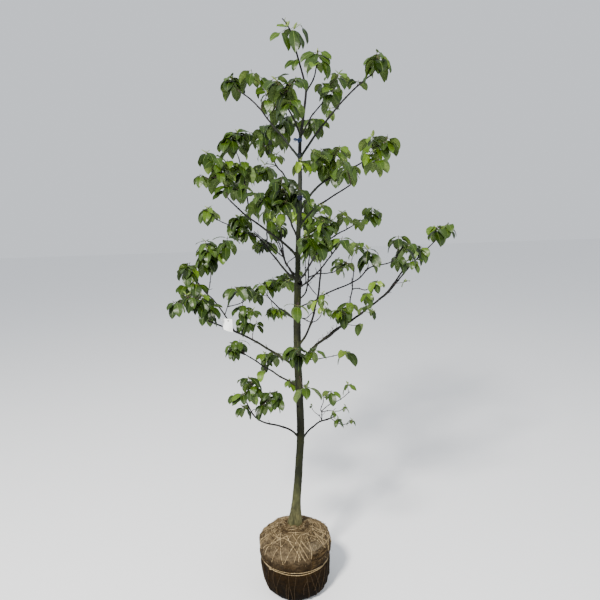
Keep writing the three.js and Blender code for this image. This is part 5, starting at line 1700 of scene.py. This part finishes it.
def burlap_material():
    m, nt, b = node_material("burlap_cloth")
    uv = nt.nodes.new("ShaderNodeTexCoord").outputs["UV"]
    waves = []
    for axis in ("X", "Y"):
        w = nt.nodes.new("ShaderNodeTexWave")
        w.wave_type = "BANDS"
        w.bands_direction = axis
        w.inputs["Scale"].default_value = 112
        w.inputs["Distortion"].default_value = 1.6
        w.inputs["Detail"].default_value = 2
        w.inputs["Detail Scale"].default_value = 1.2
        nt.links.new(uv, w.inputs["Vector"])
        waves.append(w.outputs["Fac"])
    weave = nt.nodes.new("ShaderNodeMath")
    weave.operation = "MAXIMUM"
    nt.links.new(waves[0], weave.inputs[0])
    nt.links.new(waves[1], weave.inputs[1])
    vec = coords(nt)
    sep = nt.nodes.new("ShaderNodeSeparateXYZ")
    nt.links.new(vec, sep.inputs[0])
    blot = tex_noise(nt, vec, 16, 5, 0.62, 0.5)
    fine = tex_noise(nt, vec, 120, 4, 0.6)
    slub = tex_noise(nt, coords(nt, "Object", (0.35, 0.35, 5.0)), 34, 3, 0.55)
    # darker towards the foot, near black at the very bottom; lighter towards the top
    add = nt.nodes.new("ShaderNodeMath")
    add.operation = "MULTIPLY_ADD"
    nt.links.new(blot, add.inputs[0])
    add.inputs[1].default_value = 0.13
    nt.links.new(sep.outputs[2], add.inputs[2])
    hmap = nt.nodes.new("ShaderNodeMapRange")
    hmap.inputs["From Min"].default_value = 0.065
    hmap.inputs["From Max"].default_value = 0.365
    nt.links.new(add.outputs[0], hmap.inputs[0])
    base = ramp(nt, hmap.outputs[0], [
        (0.0, srgb(4, 2, 0)), (0.16, srgb(15, 9, 2)), (0.36, srgb(29, 19, 5)), (0.52, srgb(35, 24, 8)),
        (0.62, srgb(52, 41, 26)), (0.74, srgb(80, 68, 51)), (0.86, srgb(99, 87, 69)), (1.0, srgb(92, 79, 58))])
    dirt = ramp(nt, tex_noise(nt, vec, 42, 5, 0.66, 0.4), [(0.34, (0.30, 0.27, 0.23)), (0.50, (0.86, 0.85, 0.83)), (0.70, (1.34, 1.33, 1.28))])
    col = mix(nt, 0.8, base, dirt, "MULTIPLY")
    grain = ramp(nt, fine, [(0.38, (0.45, 0.42, 0.37)), (0.50, (0.95, 0.94, 0.92)), (0.64, (1.35, 1.33, 1.28))])
    col = mix(nt, 0.7, col, grain, "MULTIPLY")
    stripe = ramp(nt, slub, [(0.36, (0.58, 0.56, 0.52)), (0.60, (1.12, 1.1, 1.06))])
    col = mix(nt, 0.6, col, stripe, "MULTIPLY")
    wv = ramp(nt, weave.outputs[0], [(0.25, (0.40, 0.38, 0.34)), (0.8, (1.15, 1.15, 1.15))])
    col = mix(nt, 0.7, col, wv, "MULTIPLY")
    # dark lapped flap at the right of the front
    flap = nt.nodes.new("ShaderNodeAttribute")
    flap.attribute_name = "flap"
    folds = ramp(nt, tex_noise(nt, coords(nt, "Object", (0.5, 0.5, 2.6)), 46, 4, 0.6, 0.3), [(0.38, srgb(26, 18, 7)), (0.50, srgb(48, 36, 19)), (0.64, srgb(88, 72, 48))])
    col = mix(nt, flap.outputs["Fac"], col, mix(nt, 0.8, folds, dirt, "MULTIPLY"))
    pale = nt.nodes.new("ShaderNodeAttribute")
    pale.attribute_name = "pale"
    # painted shade: the cloth darkened where it is sunk, in folds and under the belts
    fold_shade = nt.nodes.new("ShaderNodeAttribute")
    fold_shade.attribute_name = "fold_shade"
    col = mix(nt, fold_shade.outputs["Fac"], col, mix(nt, 1.0, col, (0.36, 0.33, 0.29), "MULTIPLY"))
    speck = ramp(nt, tex_noise(nt, vec, 260, 3, 0.6), [(0.42, srgb(78, 66, 46)), (0.60, srgb(156, 144, 120))])
    col = mix(nt, pale.outputs["Fac"], col, speck)
    nt.links.new(col, b.inputs["Base Color"])
    b.inputs["Roughness"].default_value = 0.95
    b.inputs["Specular IOR Level"].default_value = 0.08
    n1 = bump(nt, b, weave.outputs[0], 0.6, 0.0012)
    bump(nt, b, fine, 0.4, 0.0012, n1)
    return m


def collar_material():
    m, nt, b = node_material("collar_burlap")
    vec = coords(nt)
    col = ramp(nt, tex_noise(nt, vec, 60, 5, 0.65, 0.4), [(0.32, srgb(30, 23, 12)), (0.50, srgb(74, 62, 41)), (0.70, srgb(120, 104, 74))])
    nt.links.new(col, b.inputs["Base Color"])
    b.inputs["Roughness"].default_value = 0.95
    b.inputs["Specular IOR Level"].default_value = 0.15
    bump(nt, b, tex_noise(nt, vec, 420, 4, 0.6), 0.6, 0.0012)
    return m


def twine_material(name, dark, light, rough=0.9):
    m, nt, b = node_material(name)
    f = tex_noise(nt, coords(nt), 130, 4, 0.65)
    col = ramp(nt, f, [(0.32, dark), (0.66, light)])
    nt.links.new(col, b.inputs["Base Color"])
    b.inputs["Roughness"].default_value = rough
    b.inputs["Specular IOR Level"].default_value = 0.2
    bump(nt, b, tex_noise(nt, coords(nt), 700, 3, 0.7), 0.5, 0.0005)
    return m


def plain(name, colour, rough, spec=0.4):
    m, nt, b = node_material(name)
    b.inputs["Base Color"].default_value = (*colour, 1)
    b.inputs["Roughness"].default_value = rough
    b.inputs["Specular IOR Level"].default_value = spec
    return m


trunk_ob = build_trunk().build([trunk_mat, hole_shade_mat])
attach(trunk_ob, "root")
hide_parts("trunk")

bough_ob = build_boughs().build([bough_mat])
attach(bough_ob, "root")
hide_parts(*[n for n in NODES if n.startswith("bough_")])

twig_ob = twig_mesh.build([twig_mat])
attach(twig_ob, "root")

leaf_nodes = sorted(n for n in NODES if n.startswith("leaves_"))
for k, lm in enumerate(leaf_meshes):
    ob = lm.build(leaf_mats)
    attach(ob, "root")
    low, high = ((1790, 1e9), (1385, 1790), (-1e9, 1385))[k]
    mine = []
    for n in leaf_nodes:
        lo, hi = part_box(n)
        mid = (lo[2] + hi[2]) * 500
        if low <= mid < high:
            mine.append(n)
    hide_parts(*mine)
    print("piece", lm.name, lm.triangles(), "triangles", len(mine), "masses")

burlap_ob = build_burlap().build([burlap_material()])
uvl = burlap_ob.data.uv_layers.new(name="weave")
co = np.zeros(len(burlap_ob.data.vertices) * 3, np.float32)
burlap_ob.data.vertices.foreach_get("co", co)
co = co.reshape(-1, 3)
li = np.zeros(len(burlap_ob.data.loops), np.int32)
burlap_ob.data.loops.foreach_get("vertex_index", li)
nu = len(SURF_AZ)
ns = len(SURF_S)
vert_s = np.concatenate([np.repeat(SURF_S[1:], nu), np.repeat(SURF_S[-1] + 3, nu), np.repeat(SURF_S[-1] + 16, nu), [SURF_S[-1] + 30, 0]]) * MM
vert_a = np.concatenate([np.tile(SURF_AZ, ns - 1), SURF_AZ, SURF_AZ, [0, 0]])
ls, la = vert_s[li], vert_a[li]
# close the seam: corners of one face stay on one side of it
npoly = len(burlap_ob.data.polygons)
st = np.zeros(npoly, np.int32)
tot = np.zeros(npoly, np.int32)
burlap_ob.data.polygons.foreach_get("loop_start", st)
burlap_ob.data.polygons.foreach_get("loop_total", tot)
face_of = np.repeat(np.arange(npoly), tot)
mx = np.full(npoly, -1.0)
mn = np.full(npoly, 1e9)
np.maximum.at(mx, face_of, la)
np.minimum.at(mn, face_of, la)
wrap = (mx - mn)[face_of] > np.pi
la = np.where(wrap & (la < np.pi), la + 2 * np.pi, la)
uvs = np.stack([la * 0.16, ls], 1).astype(np.float32)
uvl.data.foreach_set("uv", uvs.ravel())
deg = (np.degrees(vert_a) + 180) % 360 - 180
zv = co[:, 2] / MM
flap = smooth(-65.5, -63.5, deg) * (1 - smooth(-22, -6, deg)) * smooth(168, 173, zv) * (1 - smooth(233, 240, zv + 0.12 * (deg + 40)))
pale = 0.85 * np.exp(-(((deg + 46) / 13) ** 2) - (((zv - 255) / 10) ** 2))
# painted shade in folds and grooves: strongest where the cloth is sunk deepest
fold_shade = np.concatenate([np.clip((SURF_D[1:] + 1.6) / -4.2, 0, 1).ravel(), np.zeros(2 * nu + 2)])
for nm, val in (("flap", flap), ("pale", pale), ("fold_shade", fold_shade)):
    burlap_ob.data.attributes.new(nm, "FLOAT", "POINT").data.foreach_set("value", val.astype(np.float32))
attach(burlap_ob, "root")
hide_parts("root_ball")

twine_ob = build_twine().build([
    twine_material("jute_dry", srgb(98, 81, 54), srgb(180, 159, 120)),
    twine_material("jute_damp", srgb(28, 19, 8), srgb(60, 45, 23)),
    # a darker copy of the dry twine, for the belts' painted shade
    twine_material("jute_shaded", srgb(62, 48, 28), srgb(122, 102, 68)),
])
straw_ob = build_straw().build([
    plain("straw_light", srgb(164, 145, 110), 0.8, 0.25), plain("straw_mid", srgb(118, 100, 70), 0.8, 0.25),
    plain("straw_brown", srgb(78, 60, 38), 0.85, 0.2), plain("straw_damp", srgb(36, 25, 13), 0.85, 0.2),
])
collar_ob = build_collar().build([collar_material()])
for ob in (twine_ob, straw_ob, collar_ob):
    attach(ob, "root")

label_ob = build_label().build([plain("label_white", srgb(236, 236, 234), 0.55), plain("label_string", srgb(214, 208, 190), 0.8)])
ties_ob = build_ties().build([plain("tie_blue", srgb(7, 38, 74), 0.5), plain("tie_dark", srgb(28, 34, 46), 0.6), plain("tie_navy", srgb(8, 11, 36), 0.6, 0.2)])
for ob in (label_ob, ties_ob):
    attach(ob, "root")

print("sprays", umbrella_count[0], "leaves", umbrella_count[1], "twigs", twig_mesh.triangles())
for ob in (trunk_ob, bough_ob, twig_ob, burlap_ob, twine_ob, straw_ob):
    print("piece", ob.name, sum(len(p.vertices) - 2 for p in ob.data.polygons), "triangles")

# ------------------------------------------------------------------ floor, light, camera
bpy.ops.mesh.primitive_plane_add(size=60, location=(0, 0, -0.0004))
floor = bpy.context.object
floor.name = "floor"
fm = plain("floor_pale", (0.915, 0.92, 0.925), 0.9, 0.2)
floor.data.materials.append(fm)

world = bpy.data.worlds.new("studio")
bpy.context.scene.world = world
world.use_nodes = True
bg = world.node_tree.nodes["Background"]
bg.inputs[0].default_value = (0.86, 0.90, 0.96, 1)
bg.inputs[1].default_value = 0.95


def lamp(name, where, look, size, power, colour):
    data = bpy.data.lights.new(name, "AREA")
    data.shape = "DISK"
    data.size = size
    data.energy = power
    data.color = colour
    ob = bpy.data.objects.new(name, data)
    bpy.context.scene.collection.objects.link(ob)
    ob.location = where
    ob.rotation_euler = (Vector(look) - Vector(where)).to_track_quat("-Z", "Y").to_euler()
    return ob


lamp("key", (-1.9, -4.0, 5.2), (0.05, 0, 1.3), 1.0, 820, (1.0, 0.97, 0.92))
lamp("fill", (3.4, -2.6, 2.6), (0.05, 0, 1.3), 3.0, 45, (0.92, 0.96, 1.0))

cam = bpy.data.cameras.new("camera")
cam.sensor_width = 36
cam.lens = 36 * 533 / 600
cam_ob = bpy.data.objects.new("camera", cam)
bpy.context.scene.collection.objects.link(cam_ob)
pitch, rollc = math.radians(8.53), math.radians(1.91)
F = np.array([0, math.cos(pitch), -math.sin(pitch)])
R0 = np.array([1.0, 0, 0])
U0 = np.array([0, math.sin(pitch), math.cos(pitch)])
Rc = R0 * math.cos(rollc) - U0 * math.sin(rollc)
Uc = R0 * math.sin(rollc) + U0 * math.cos(rollc)
mat = Matrix.Identity(4)
for r in range(3):
    mat[r][0], mat[r][1], mat[r][2] = Rc[r], Uc[r], -F[r]
    mat[r][3] = (0.061, -2.30, 1.70)[r]
cam_ob.matrix_world = mat
bpy.context.scene.camera = cam_ob

bpy.context.view_layer.update()
